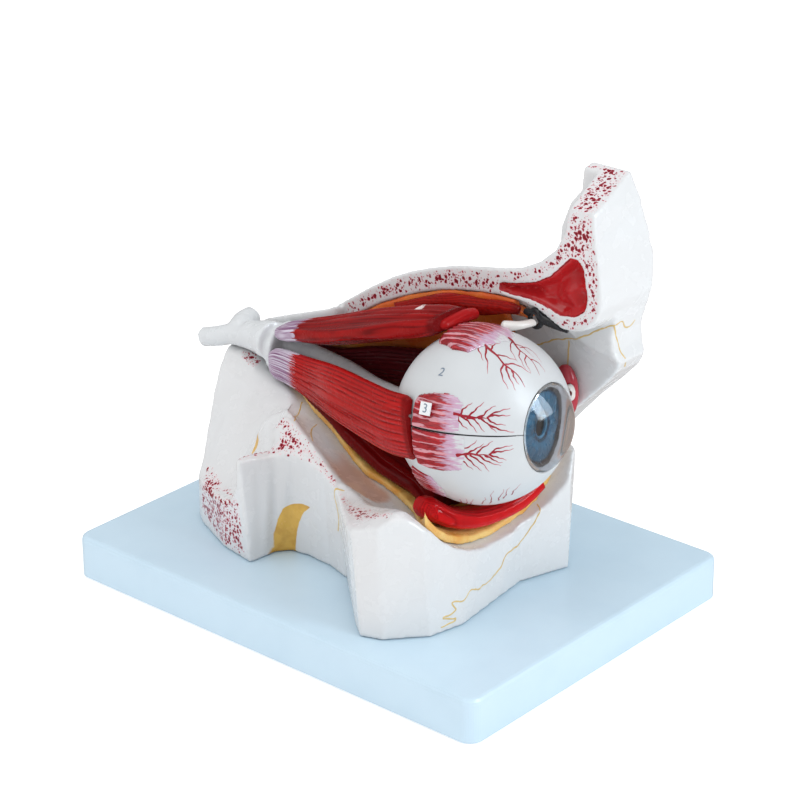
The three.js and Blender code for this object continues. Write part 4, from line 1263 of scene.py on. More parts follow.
@dataclass
class SkullCasting:
    """The five bone castings as one painted skin, with its saw cuts, sutures, ochre patches, red paint round
    the sinus and painted shade in the trough.
    """

    voxel: float = 1.15
    rounds: int = 18
    cut_y: float = 28.0
    top_low: tuple[float, float] = (20.0, 227.0)
    top_high: tuple[float, float] = (67.0, 241.2)
    bones: tuple[str, ...] = ("frontal_bone", "nasal_wall", "sphenoid_bone", "zygomatic_bone", "maxilla")
    wall_cut: Outline = (
        (-51.7, -33.5), (-53.7, -34.6), (-53.1, -35.9), (-45.7, -39), (-44.4, -41.6), (-48.1, -44.3),
        (-51.4, -49.5), (-53.5, -55.9), (-53.9, -60.8), (-52.3, -65.1), (-49.5, -54.7), (-46.4, -48.3),
        (-38.6, -45.7), (-30.7, -43.3), (-22.3, -42.6), (-13.3, -43.8), (-6.3, -45), (-1.7, -46.3),
        (-2.4, -43.9), (-10.1, -41.3), (-17.8, -39.8), (-24.4, -38.1), (-32.2, -37.2), (-39.8, -35.4),
        (-46.1, -34.1))
    block_cut: Outline = (
        (3.1, -46.8), (11.3, -50.4), (24.7, -58.7), (34, -60.6), (50, -68.9), (61.6, -72.5), (59.5, -74.4),
        (51.3, -75.7), (41.2, -74.9), (32.5, -70.6), (18, -60))
    back_cut: Outline = (
        (-101.9, 55.5), (-96, 56.1), (-88, 54.4), (-77.9, 53.1), (-67.8, 55.1), (-54.6, 58.5), (-52.8, 55.9),
        (-49.3, 28.9), (-53.9, 26.2), (-75.4, 26.9), (-88.6, 30.6), (-97.2, 33.2), (-96.2, 41.4), (-95, 50.7))
    oval_cut: Outline = (
        (-111.4, -1), (-110.1, 1.6), (-101.3, 4.6), (-97.7, -0.4), (-99, -4.5), (-103.4, -5.5),
        (-107.7, -4.2))
    notch_patch: Outline = (
        (-43, 20), (-42.3, 28.8), (-42.3, 36.6), (-40.8, 44.9), (-38.3, 51.1), (-35.4, 53.6), (-28.1, 55.6),
        (-22.3, 55.2), (-27.5, 50.3), (-30.6, 43.5), (-32.9, 35.3), (-33.8, 26.4), (-33.8, 20))
    crescent_patch: Outline = (
        (-71.6, 79.6), (-66.6, 78.6), (-65.8, 75.4), (-67.2, 72.4), (-68.9, 71), (-68.8, 74.2), (-69.6, 77))
    dents: Rows = (
        (-58, -33, 93.5, 5.5, 3.2), (-54, -43, 84, 5, 2.4), (-74, -31, 74, 7, 1.6), (-59, -20, 97.5, 9, 4))
    trough: Rows = (
        (-37.5, -19.2, 88.7), (-28, -26, 86.5), (-21.3, -28, 83.1), (-11.6, -30.4, 78.9), (-1, -30.6, 73.5),
        (14, -34.5, 71.2))
    sutures: tuple[Rows, ...] = (
        ((43.7, 52.9, 138.5), (51.3, 52.7, 137.8), (59.8, 52, 142), (71.2, 49.9, 147.5), (83.5, 46, 152),
         (92.3, 44, 157.2), (98.5, 44, 161.1), (104.8, 44, 165), (108.5, 44, 166.8), (110, 49.5, 167.9),
         (108.8, 53.3, 163.4), (108.6, 58.5, 162.3), (109.1, 61.9, 164.3)),
        ((77.1, 48.9, 148.3), (75.7, 50.5, 142.3), (74.7, 51.6, 136.1), (74.7, 51.7, 132.1)),
        ((109.1, 44, 166.7), (108.2, 48.1, 158), (110.2, 50.1, 149.6), (109.4, 54, 141.5)),
        ((78.4, 22.8, 64.8), (82.1, 20.7, 63.9), (81.5, 15.3, 56.5), (79.5, 7.6, 48.3), (80.9, -4.4, 47),
         (80.7, -11.3, 40.4), (81.5, -18.5, 38.3), (82.8, -28.1, 38), (84, -40, 39.2), (84.2, -41.8, 37.7),
         (83.2, -51.7, 38), (84.2, -49.6, 34), (82.6, -58, 32.3), (84.6, -50.2, 29.2), (82.8, -59.8, 28)),
        ((-60.4, -6.8, 93.5), (-53.8, -16.6, 93.4), (-47.5, -25.5, 95.2), (-41.4, -33.1, 96.5)),
        ((-40.4, -17.3, 89.3), (-37.8, -23.5, 89.8), (-33.1, -29.4, 90), (-27.3, -34.3, 89.3)),
        ((5.2, -45.8, 74.7), (-0.3, -46.2, 74.3), (-1.4, -46.2, 69.9), (0.6, -46.6, 64.2), (1.8, -46.7, 58.1),
         (0.6, -46.1, 50.1)))
    suture_radius: float = 0.42
    suture_finish: CastPlastic = CastPlastic("suture_line", linear(214, 186, 120), linear(190, 150, 80), 0.5,
                                             0.35)
    paint: BonePaint = BonePaint()

    def build(self, shop: Workshop) -> None:
        """Makes the skin, paints it and lays the sutures on it.

        Args:
            shop: the workshop.
        """
        skin = cast_skin("skull_casting", [shop.nodes[name] for name in self.bones], self.voxel)
        z = read_vertices(skin)[:, 2] / MM
        relax(skin, self.rounds, np.clip((z - 25) / 4, 0.15, 1))
        points, normals = read_skin(skin)
        side, top, up, level = self._cuts(points, normals)
        free = ~(side | top)
        soft = np.clip((-46 - points[:, 0]) / 12, 0, 1)
        soft = soft * np.clip((z - 25) / 6, 0, 1) * np.clip((118 - z) / 10, 0, 1)
        relax(skin, 60, soft * free)
        points[free] = read_vertices(skin)[free] / MM
        points[side, 1] = self.cut_y
        points[top] -= level[top, None] * up
        for x, y, z, reach, sink in self.dents:
            near = np.exp(-((points - [x, y, z]) ** 2).sum(axis=1) / reach**2)
            points = points - normals * (sink * near)[:, None]
        for outline, low, high in ((self.wall_cut, 66, 102), (self.oval_cut, 96, 112)):
            inner = inside_depth(points[:, :2], outline) + 1.6
            shown = (points[:, 2] > low) * (points[:, 2] < high) * (normals[:, 2] > 0.1)
            lift = np.clip(inner / 1.2, 0, 1) * shown
            points = points + np.array([0, 0, 0.9]) * lift[:, None]
        write_points(skin, points)
        relax(skin, 3, np.where(free, 0.7, 0))
        points, normals = read_skin(skin)
        flat = points[:, [0, 2]]
        # painted shade along the trough inside the outer wall, strongest towards its front end
        trough_shade = np.clip((12.5 - near_path(points, self.trough)) / 6, 0, 1) * (normals[:, 2] > -0.2)
        trough_shade *= np.interp(points[:, 0], [-42, -24, -4], [0, 0.12, 1]) * (points[:, 1] > -41)
        y = points[:, 1]
        notch = np.where((y < -38) & (y > -58) & (normals[:, 1] < 0.4), inside_depth(flat, self.notch_patch),
                         OUTSIDE)
        arc = np.where((y < -24) & (y > -46), inside_depth(flat, self.crescent_patch) + 0.6, OUTSIDE)
        rim = np.where(abs(y - self.cut_y) < 14, inside_depth(flat, SinusRecess.outline) + 0.9, OUTSIDE)
        store(skin, saw_depth=self._saw_depth(points, normals, side, top), ochre_depth=np.maximum(notch, arc),
              hollow=trough_shade, sinus_rim=rim)
        shop.place(skin, Body.STAND, self.paint, "bone_cast", self.bones)
        self._lay_sutures(shop, skin)

    def _cuts(self, points: np.ndarray, normals: np.ndarray) -> tuple[np.ndarray, ...]:
        """Points on the two flat saw cuts.

        Args:
            points: vertex places.
            normals: vertex normals.

        Returns:
            Masks of the side cut and of the top cut, the top cut's normal and each point's height over it.
        """
        side = (abs(points[:, 1] - self.cut_y) < 0.9) & (normals[:, 1] < -0.75) & (points[:, 2] > 124)
        side &= points[:, 0] > -64
        slope = np.array(self.top_high) - np.array(self.top_low)
        up = np.array([0.0, -slope[1], slope[0]]) / np.linalg.norm(slope)
        level = points @ up - up @ np.array([0.0, *self.top_low])
        return side, (abs(level) < 1.1) & (normals @ up > 0.8) & (points[:, 2] > 222), up, level

    def _saw_depth(self, points: np.ndarray, normals: np.ndarray, side: np.ndarray,
                   top: np.ndarray) -> np.ndarray:
        """How far inside a saw cut each point lies, below zero outside.

        Args:
            points: vertex places.
            normals: vertex normals.
            side: points on the side cut.
            top: points on the top cut.

        Returns:
            One depth per vertex.
        """
        z = points[:, 2]
        depth = np.full(len(points), OUTSIDE)
        for chosen in (side, top):
            others = np.flatnonzero(~chosen & (z > 110))
            rest = KDTree(len(others))
            for number in others:
                rest.insert(points[number], int(number))
            rest.balance()
            depth[chosen] = [rest.find(place)[2] for place in points[chosen]]
        upward = normals[:, 2] > 0.1
        for outline, flat, here in (
            (self.wall_cut, [0, 1], upward & (z > 66) & (z < 102)),
            (self.block_cut, [0, 1], upward & (z > 68) & (z < 96)),
            (self.oval_cut, [0, 1], upward & (z > 96)),
            (self.back_cut, [0, 2], (normals[:, 1] < -0.3) & (points[:, 1] < -38)),
        ):
            inner = inside_depth(points[:, flat], outline)
            inner = np.where(inner > -0.6, inner * 0.7 + 1.9, inner)
            depth = np.where(here, np.maximum(depth, inner), depth)
        return depth

    def _lay_sutures(self, shop: Workshop, skin: Piece) -> None:
        """Thin painted seams that follow the skin.

        Args:
            shop: the workshop.
            skin: the skull's skin.
        """
        tree = surface_tree(skin)
        rings, faces, total = [], [], 0
        for number, line in enumerate(self.sutures):
            length = sum(math.dist(a, b) for a, b in zip(line, line[1:]))
            run = spline(line, max(8, int(length / 1.1)))
            step = np.arange(len(run))
            run[:, 2] += 0.5 * wave_noise(step * 0.21, 0.0, 40 + number)
            places, lifts = zip(*(on_surface(tree, place) for place in run))
            thick = self.suture_radius * (1 + 0.35 * wave_noise(step * 0.4, 0.0, number))
            ring, quads = tube_mesh(np.array(places), np.clip(thick, 0.25, 0.9), 6, np.array(lifts), 0.35)
            faces += [tuple(i + total for i in quad) for quad in quads]
            rings.append(ring)
            total += len(ring)
        seams = make_object("suture_lines", np.concatenate(rings), faces)
        shop.place(seams, Body.STAND, self.suture_finish, "lining")


@dataclass
class SinusRecess:
    """Red hollow of the frontal sinus, dished behind the saw cut."""

    outline: Outline = (
        (47.9, 179.2), (47.6, 175.6), (54.6, 175), (67.6, 175.4), (77.3, 174), (87, 171.5), (96.5, 173.2),
        (102, 177.4), (103.7, 184.3), (101.9, 191.8), (100.8, 199.6), (97.5, 203.5), (92.5, 203.4),
        (86.4, 197), (80.1, 190.6), (70.6, 185), (57.7, 181.1))
    front: float = 29.0
    depth: float = 6.5
    step: float = 0.6
    lumps: Rows = (
        (90.4, 183.3, 6.5, 5.0), (99.5, 190, 4.5, 3.0), (75, 180, 4.0, 2.2), (95, 177.5, 4.0, 2.5),
        (61, 178.4, 4.0, 2.0), (95.8, 199, 3.6, 2.0), (84, 178, 3.2, 1.8))
    paint: CastPlastic = CastPlastic("sinus_red", linear(188, 34, 38), linear(146, 18, 24), 0.5, 0.22, 0.5,
                                     specular=0.45)

    def build(self, shop: Workshop) -> None:
        """Makes the dished red lining.

        Args:
            shop: the workshop.
        """
        corners = np.array(self.outline)
        low, high = corners.min(0) - 2, corners.max(0) + 2
        gx, gz = np.meshgrid(np.arange(low[0], high[0], self.step), np.arange(low[1], high[1], self.step),
                             indexing="ij")
        inside = grid_depth(gx, gz, self.outline)
        bowl = np.clip(inside / 5.0, 0, 1)
        bowl = bowl * bowl * (3 - 2 * bowl)
        y = self.front + bowl * self.depth + 0.4 * wave_noise(gx / 16, gz / 13, 5) * bowl
        for x, z, reach, rise in self.lumps:
            y -= rise * np.exp(-((gx - x) ** 2 + (gz - z) ** 2) / reach**2) * bowl
        y = np.maximum(y, self.front)
        keep = inside > -0.3
        sheets = [np.column_stack([gx[keep], level[keep], gz[keep]])
                  for level in (y, np.full_like(y, self.front + self.depth + 3.2))]
        faces = double_faces(kept_quads(keep), len(sheets[0]))
        shop.place(make_object("sinus_recess", np.concatenate(sheets), faces, 60), Body.STAND, self.paint,
                   "mucosa", ["frontal_sinus_lining"])


@dataclass
class OrbitLining:
    """Ochre membrane that lines the orbit."""

    voxel: float = 1.1
    paint: LiningPaint = LiningPaint()

    def build(self, shop: Workshop) -> None:
        """Makes the lining's smooth skin.

        Args:
            shop: the workshop.
        """
        skin = shop.skin("orbit_membrane", "periorbita_lining", self.voxel, 14)
        points, normals = read_skin(skin)
        ripple = wave_noise(points[:, 0] / 17, points[:, 1] / 14, 9)
        write_points(skin, points + normals * 0.25 * ripple[:, None])
        shop.place(skin, Body.STAND, self.paint, "lining", ["periorbita_lining"])


@dataclass
class NerveStem:
    """Optic nerve with its flared canal sleeve and the branch to the other eye."""

    voxel: float = 0.9
    nodes: tuple[str, ...] = ("optic_nerve", "optic_chiasm", "common_tendinous_ring")
    web: Rows = ((-115.5, 1, 116.8, 6.6), (-117, 5.5, 118, 7.2), (-118.5, 11, 119.3, 6.8),
                 (-119.5, 17, 120, 5.9))
    sleeve: Rows = ((-110, 3, 116.4, 7.6), (-101, 3.6, 117, 9.2), (-94, 3, 117.8, 10.6),
                    (-88.2, 1.5, 118.6, 10.6))
    paint: CastPlastic = CastPlastic("nerve_white", linear(217, 220, 222), linear(200, 199, 200), 0.2, 0.28,
                                     1.0, 0.02)

    def build(self, shop: Workshop) -> None:
        """Makes the nerve's smooth skin.

        Args:
            shop: the workshop.
        """
        extra = []
        for rows in (self.web, self.sleeve):
            course = spline(rows, 24)
            extra.append(make_object("nerve_part", *tube_mesh(course[:, :3], course[:, 3], 24)))
        skin = cast_skin("optic_nerve_stem", [shop.nodes[name] for name in self.nodes] + extra, self.voxel)
        for part in extra:
            bpy.data.objects.remove(part)
        x = read_vertices(skin)[:, 0] / MM
        relax(skin, 70, np.clip((x - x.min()) / 4, 0.08, 1))
        shop.place(skin, Body.STAND, self.paint, "nerve", self.nodes)


@dataclass(frozen=True)
class GlobeFrame:
    """Place and axes of the eyeball: x along the gaze, z across the split."""

    centre: Point = (67.1, -8.0, 122.4)
    gaze: Point = (0.98983366, 0.11102763, 0.0888943)
    side: Point = (-0.0931233, 0.97830835, -0.18496785)
    normal: Point = (-0.10750037, 0.17477286, 0.97872270)
    radius: float = 45.2
    limbus: float = 22.9

    def axes(self) -> np.ndarray:
        """The three axes, one a row."""
        return np.array([self.gaze, self.side, self.normal])

    def mouth(self) -> float:
        """How far along the gaze the rim of the cornea lies."""
        return math.sqrt(self.radius**2 - self.limbus**2)

    def world(self, local: np.ndarray) -> np.ndarray:
        """Points of the eyeball's own axes in the part's frame."""
        return np.asarray(local, float) @ self.axes() + np.array(self.centre)

    def local(self, points: np.ndarray) -> np.ndarray:
        """Points of the part's frame in the eyeball's own axes."""
        return (points - np.array(self.centre)) @ self.axes().T

    def on_globe(self, local: np.ndarray, height: float | np.ndarray = 0.0) -> np.ndarray:
        """Own-axis points moved out to the globe's surface plus a height."""
        return unit(np.asarray(local, float)) * (self.radius + np.asarray(height))[..., None]


def turned(profile: Sequence[Sequence[float]], turn: np.ndarray) -> np.ndarray:
    """Profile turned about the gaze.

    Args:
        profile: distances along the gaze and radii.
        turn: angles to turn it to.

    Returns:
        A row of points for each angle, in the eyeball's own axes.
    """
    loop = np.array(profile)
    return np.stack([np.broadcast_to(loop[:, 0], (len(turn), len(loop))), np.cos(turn)[:, None] * loop[:, 1],
                     np.sin(turn)[:, None] * loop[:, 1]], axis=-1)


@dataclass(frozen=True)
class Belly:
    """A muscle belly: rows of x, y, z, width and thickness, the way its width lies, and its grooves."""

    name: str
    body: Body
    stations: Rows
    across: Point
    replaces: str
    paint: MusclePaint
    slot: str = "muscle"
    grooves: float = 14.0
    groove_depth: float = 0.3
    folds: float = 0.0
    fold_depth: float = 0.0
    rows: int = 84
    columns: int = 60
    clear_of_globe: float = 0.9
    seed: int = 1


@dataclass
class MuscleSet:
    """The six muscles of the orbit."""

    globe: GlobeFrame
    outer_red: MusclePaint = MusclePaint("rectus_red", linear(186, 26, 26), start=0.128, lines=15.0,
                                         fray=0.05)
    upper_red: MusclePaint = MusclePaint("upper_rectus_red", linear(164, 22, 22), start=0.129, lines=11.0,
                                         fray=0.05)
    # medial rectus: the muscle red darkened as painted shade where it lies deep behind the globe
    shaded_red: MusclePaint = MusclePaint("maroon_muscle", linear(92, 24, 30), linear(38, 8, 12), lines=12.0)
    floor_red: MusclePaint = MusclePaint("floor_muscle_red", linear(114, 10, 10), linear(70, 4, 6), lines=5.0,
                                         gloss=0.14, bump=0.1)
    oblique_red: MusclePaint = MusclePaint("oblique_red", linear(206, 28, 32), linear(128, 10, 14), lines=5.0,
                                           gloss=0.1, bump=0.1)
    roll_red: MusclePaint = MusclePaint("roll_red", linear(172, 26, 28), linear(96, 8, 12), lines=5.0,
                                        gloss=0.14, bump=0.1)
    pulley_red: MusclePaint = MusclePaint("upper_oblique_red", linear(160, 20, 14), linear(80, 6, 8),
                                          lines=9.0)
    outer: Rows = (
        (-85.4, -4.4, 109, 6.6, 2.2), (-82, -4.3, 109.1, 8.6, 3.2), (-76, -4, 109.2, 9.4, 3.8),
        (-66, -5.5, 109.4, 10.2, 4), (-52, -9, 110, 11.8, 4.4), (-20, -22, 114.5, 15, 5),
        (12, -34.5, 118.5, 16.2, 5), (37, -44.5, 122.6, 16.8, 4.6), (57, -50.8, 127.6, 16.4, 4.2))
    upper: Rows = (
        (-85.2, 4, 124.4, 6.8, 3.4), (-80, 4.8, 125.6, 8.6, 4.8), (-72, 6, 127.8, 9.4, 5.4),
        (-47, 4, 135.5, 13, 7), (-21, 1, 145.3, 16, 7.6), (2, -2, 154, 17.5, 7.4), (22, -4, 161, 17.5, 6.8),
        (36, -5, 165.6, 17, 6), (42.6, -5, 168, 15.5, 4.6))
    inner: Rows = (
        (-84, 20, 110, 6, 2.6), (-60, 23, 107.5, 8, 4), (-35, 29, 110.5, 10.5, 4.6), (-8, 34, 113, 12, 4.6),
        (20, 38, 117, 13.5, 4.2), (44, 40, 119.5, 13.5, 3.6))
    floor_line: Rows = ((-84, 9, 6), (-70, 6, 7), (-52, 1.5, 12), (-36, -1, 13.5), (-20, -3, 16),
                        (10, -5, 18.5), (34, -7, 18), (50, -12, 18))
    oblique_line: Rows = ((-45, 55.4, 4.5), (-42, 57, 8), (-33, 63, 8.5), (-20, 67, 8.5), (-4, 70, 8.5),
                          (12, 72, 8.5), (26, 74, 8))
    pulley_line: Rows = ((-84.5, 119.6, 3), (-56, 127, 4), (-40, 137, 5), (0, 155, 5.2), (26.5, 162.8, 5),
                         (52.4, 167.6, 3.6), (62.5, 168.2, 2.4))
    roll_path: Rows = ((43.2, -14, 166.6), (43.6, -5, 167.2), (43.6, 6, 167), (43.2, 15.5, 165.4))
    roll_radii: tuple[float, ...] = (3.0, 3.7, 4.0, 3.3)
    roll_sides: int = 26
    chip: Rows = ((12.4, 0.3, 163), (15, 2.4, 163), (17.9, 5.4, 163), (20.4, 2.8, 163), (17.8, 0.2, 163),
                  (15.4, -3, 163))
    chip_sides: int = 24
    chip_paint: CastPlastic = CastPlastic("worn_label", linear(232, 226, 224), linear(196, 120, 118), 0.7,
                                          0.5)

    def build(self, shop: Workshop) -> None:
        """Makes each muscle.

        Args:
            shop: the workshop.
        """
        upright, crosswise = (0, 0, 1), (0, 1, 0)
        for belly in (
            Belly("outer_rectus_belly", Body.LATERAL, self.outer, upright, "lateral_rectus", self.outer_red,
                  grooves=15, groove_depth=0.45, seed=3),
            Belly("upper_rectus_belly", Body.SUPERIOR, self.upper, crosswise, "superior_rectus",
                  self.upper_red, grooves=20, groove_depth=0.16, folds=4.4, fold_depth=1.8, seed=7),
            Belly("inner_rectus_belly", Body.STAND, self.inner, upright, "medial_rectus", self.shaded_red,
                  "deep_muscle", grooves=12, groove_depth=0.4, seed=11),
        ):
            piece = self._belly(belly)
            shop.place(piece, belly.body, belly.paint, belly.slot, [belly.replaces])
            if belly.body is Body.SUPERIOR:
                self._worn_label(shop, piece)
        for name, node, axis, side, line, paint, slot in (
            ("lower_rectus_belly", "inferior_rectus", 0, 1, self.floor_line, self.floor_red, "muscle"),
            ("lower_oblique_belly", "inferior_oblique", 1, 0, self.oblique_line, self.oblique_red, "muscle"),
            ("upper_oblique_belly", "superior_oblique", 0, 2, self.pulley_line, self.pulley_red,
             "deep_muscle"),
        ):
            skin = shop.skin(name, node, 0.8, 14)
            points, normals = read_skin(skin)
            stations, middles, widths = np.array(line, float).T
            at = points[:, axis]
            across = (points[:, side] - np.interp(at, stations, middles)) / np.interp(at, stations, widths)
            along = (at - stations[0]) / (stations[-1] - stations[0])
            turns = across * 3.5 + 0.3 * wave_noise(across, along * 2, 23)
            ridge = (0.5 + 0.5 * np.cos(2 * math.pi * turns)) ** 4
            write_points(skin, points - normals * 0.3 * ridge[:, None])
            # groove: painted shade where the skin was pressed in
            store(skin, across=across, along=along, groove=0.6 * ridge)
            shop.place(skin, Body.STAND, paint, slot, [node])
        self._roll(shop)

    def _worn_label(self, shop: Workshop, belly: Piece) -> None:
        """Rubbed white label stuck on the upper rectus.

        Args:
            shop: the workshop.
            belly: the muscle that it sticks to.
        """
        corners = spline(self.chip + self.chip[:1], self.chip_sides + 1)[:-1]
        middle = corners.mean(axis=0)
        ragged = 1 + 0.12 * wave_noise(np.arange(self.chip_sides) * 0.3, 0.0, 61)
        rings = [middle + (corners - middle) * (ragged * size)[:, None] for size in (0.05, 0.35, 0.7, 1.0)]
        tree = surface_tree(belly)
        spots, lifts = (np.array(part) for part in zip(*(on_surface(tree, p) for p in np.concatenate(rings))))
        faces = double_faces(ring_faces(len(rings), self.chip_sides) + [tuple(range(self.chip_sides))],
                             len(spots))
        label = make_object("upper_rectus_label", np.concatenate([spots + lifts * 0.22, spots - lifts * 0.1]),
                            faces)
        shop.place(label, Body.SUPERIOR, self.chip_paint, "label")

    def _roll(self, shop: Workshop) -> None:
        """Rounded roll on the front end of the upper rectus.

        Args:
            shop: the workshop.
        """
        path = spline(self.roll_path, 40)
        share = np.linspace(0, 1, len(path))
        radii = np.interp(share, np.linspace(0, 1, len(self.roll_radii)), self.roll_radii)
        points, faces = tube_mesh(path, radii * round_ends(share, 0.1, 0.1, 0.01), self.roll_sides,
                                  squash=0.85)
        piece = make_object("upper_rectus_lump", points, faces, 60)
        turn = np.linspace(0, 2, self.roll_sides, endpoint=False)
        store(piece, across=np.tile(turn, len(path)), along=np.repeat(share * 0.4 + 0.4, self.roll_sides),
              groove=np.zeros(len(points)))
        shop.place(piece, Body.SUPERIOR, self.roll_red, "muscle")

    def _belly(self, belly: Belly) -> Piece:
        """Grooved loft through the stations of one muscle.

        Args:
            belly: what the muscle is.

        Returns:
            The new object.
        """
        path = spline(belly.stations, belly.rows)
        centre, wide, thick = path[:, :3], path[:, 3], path[:, 4]
        run = unit(np.gradient(centre, axis=0))
        flat = unit(np.cross(run, np.array(belly.across, float)))
        width = unit(np.cross(flat, run))
        half = np.sin(np.linspace(-math.pi / 2, math.pi / 2, belly.columns))
        across = np.concatenate([half, half[-2:0:-1]])
        face = np.concatenate([np.ones(belly.columns), -np.ones(belly.columns - 2)])
        swell = np.maximum(1 - np.abs(across) ** 2.857, 0) ** 0.35
        v, s = np.meshgrid(across, np.linspace(0, 1, belly.rows))
        drift = 0.5 * wave_noise(v * 0.9, s * 1.6, belly.seed) + face * 0.23
        line = (0.5 + 0.5 * np.cos(2 * math.pi * (v * belly.grooves / 2 + drift))) ** 5
        ends = np.clip(np.minimum(s, 1 - s) / 0.03, 0, 1)
        turns = v * belly.folds / 2 + 0.35 * wave_noise(v, s, belly.seed + 1)
        fold = 0.5 - 0.5 * np.cos(2 * math.pi * turns)
        fold = fold * (belly.folds > 0)
        sink = belly.groove_depth * line + belly.fold_depth * fold
        reach = np.maximum(thick[:, None] * swell - sink * (swell > 0.3) * ends, 0)
        taper = 1 - 0.10 * (1 - ends) ** 2
        points = (centre[:, None] + width[:, None] * (wide[:, None] * v * taper)[..., None]
                  + flat[:, None] * (reach * face * taper)[..., None]).reshape(-1, 3)
        away = points - np.array(self.globe.centre)
        distance = np.linalg.norm(away, axis=1)
        push = np.maximum(distance, self.globe.radius + belly.clear_of_globe) / distance
        points = np.array(self.globe.centre) + away * push[:, None]
        piece = make_object(belly.name, points, tube_faces(belly.rows, len(across)), 50)
        # groove: painted shade in the sunken grooves and folds
        store(piece, across=v.ravel(), along=s.ravel(), groove=(0.6 * line * ends + 0.35 * fold).ravel())
        return piece


@dataclass(frozen=True)
class Stump:
    """Muscle end on the globe: its outline seen along its own direction, and its heights."""

    name: str
    body: Body
    replaces: str
    outline: Outline
    turn: float
    root_height: float = 2.6
    tip_height: float = 0.25
    keep: tuple[float, float] = (-99.0, 99.0)
    lobes: float = 7.0


@dataclass
class StumpSet:
    """The cut muscle ends that stay on the eyeball."""

    globe: GlobeFrame
    step: float = 0.7
    paint: StumpPaint = StumpPaint()
    lateral: Outline = (
        (-13.5, -12), (-13.5, 12), (-11.5, 16), (-3, 18.2), (5, 19), (10, 17.8), (14, 15), (13, 8), (13.5, 2),
        (16.5, -2), (16.5, -11), (13, -19), (4, -20.5), (-5, -20.5), (-11.5, -19))
    superior: Outline = (
        (-15.5, -19), (-3, -25.5), (6, -25), (10, -19), (13.5, -13), (17, -5), (14.5, 4), (8, 10), (0, 14),
        (-15.5, 11))
    medial: Outline = ((-12, -15), (10, -13), (10, 13), (-12, 15))
    inferior: Outline = ((-20, -9), (-6, -10), (-2, 0), (-6, 9), (-20, 9))

    def build(self, shop: Workshop) -> None:
        """Makes each muscle end.

        Args:
            shop: the workshop.
        """
        above, below = (0.35, 99), (-99, -0.35)
        for stump in (
            Stump("outer_end_upper", Body.EYE_UPPER, "lateral_stump_upper", self.lateral, 90, keep=above),
            Stump("outer_end_lower", Body.EYE_LOWER, "lateral_stump_lower", self.lateral, 90, keep=below),
            Stump("upper_end", Body.EYE_UPPER, "superior_stump", self.superior, 0, 3.6, lobes=9),
            Stump("inner_end", Body.EYE_LOWER, "medial_stump", self.medial, -90, keep=below),
            Stump("lower_end", Body.EYE_LOWER, "inferior_stump", self.inferior, 137),
        ):
            shop.place(self._patch(stump), stump.body, self.paint, "muscle", [stump.replaces])

    def _patch(self, stump: Stump) -> Piece:
        """Raised patch on the globe.

        Args:
            stump: what the muscle end is.

        Returns:
            The new object.
        """
        corners = np.array(stump.outline, float)
        low, high = corners.min(0), corners.max(0)
        gx, gv = np.meshgrid(*(np.arange(low[i] - 0.3, high[i] + self.step, self.step) for i in (0, 1)),
                             indexing="ij")
        inside = grid_depth(gx, gv, stump.outline)
        along = (gx - low[0]) / (high[0] - low[0])
        across = (gv - low[1]) / (high[1] - low[1])
        angle = math.radians(stump.turn)
        depth = np.sqrt(np.maximum((self.globe.radius + 0.1) ** 2 - gx**2 - gv**2, 1.0))
        turned_y = gv * math.cos(angle) - depth * math.sin(angle)
        turned_z = gv * math.sin(angle) + depth * math.cos(angle)
        turns = across * stump.lobes + 0.5 * wave_noise(across, along * 0.5, 21)
        ridge = 0.5 + 0.5 * np.cos(2 * math.pi * turns)
        body = stump.root_height + (stump.tip_height - stump.root_height) * np.clip(along, 0, 1) ** 0.8
        height = body * np.clip(inside / 1.6, 0, 1) ** 0.5 * (0.8 + 0.2 * ridge)
        keep = (inside > -0.35) & (turned_z > stump.keep[0]) & (turned_z < stump.keep[1])
        local = np.stack([gx, turned_y, turned_z], axis=-1)[keep]
        top = self.globe.on_globe(local, height[keep] + 0.06)
        under = self.globe.on_globe(local, np.full(len(local), -0.3))
        faces = double_faces(kept_quads(keep), len(top))
        piece = make_object(stump.name, self.globe.world(np.concatenate([top, under])), faces, 70)
        store(piece, along=np.tile(along[keep], 2), across=np.tile(across[keep], 2))
        return piece


@dataclass(frozen=True)
class VesselTree:
    """Painted vessel: stem and branches as longitude and latitude on the eyeball, in degrees."""

    body: Body
    radius: float
    lift: float
    strands: tuple[Outline, ...]


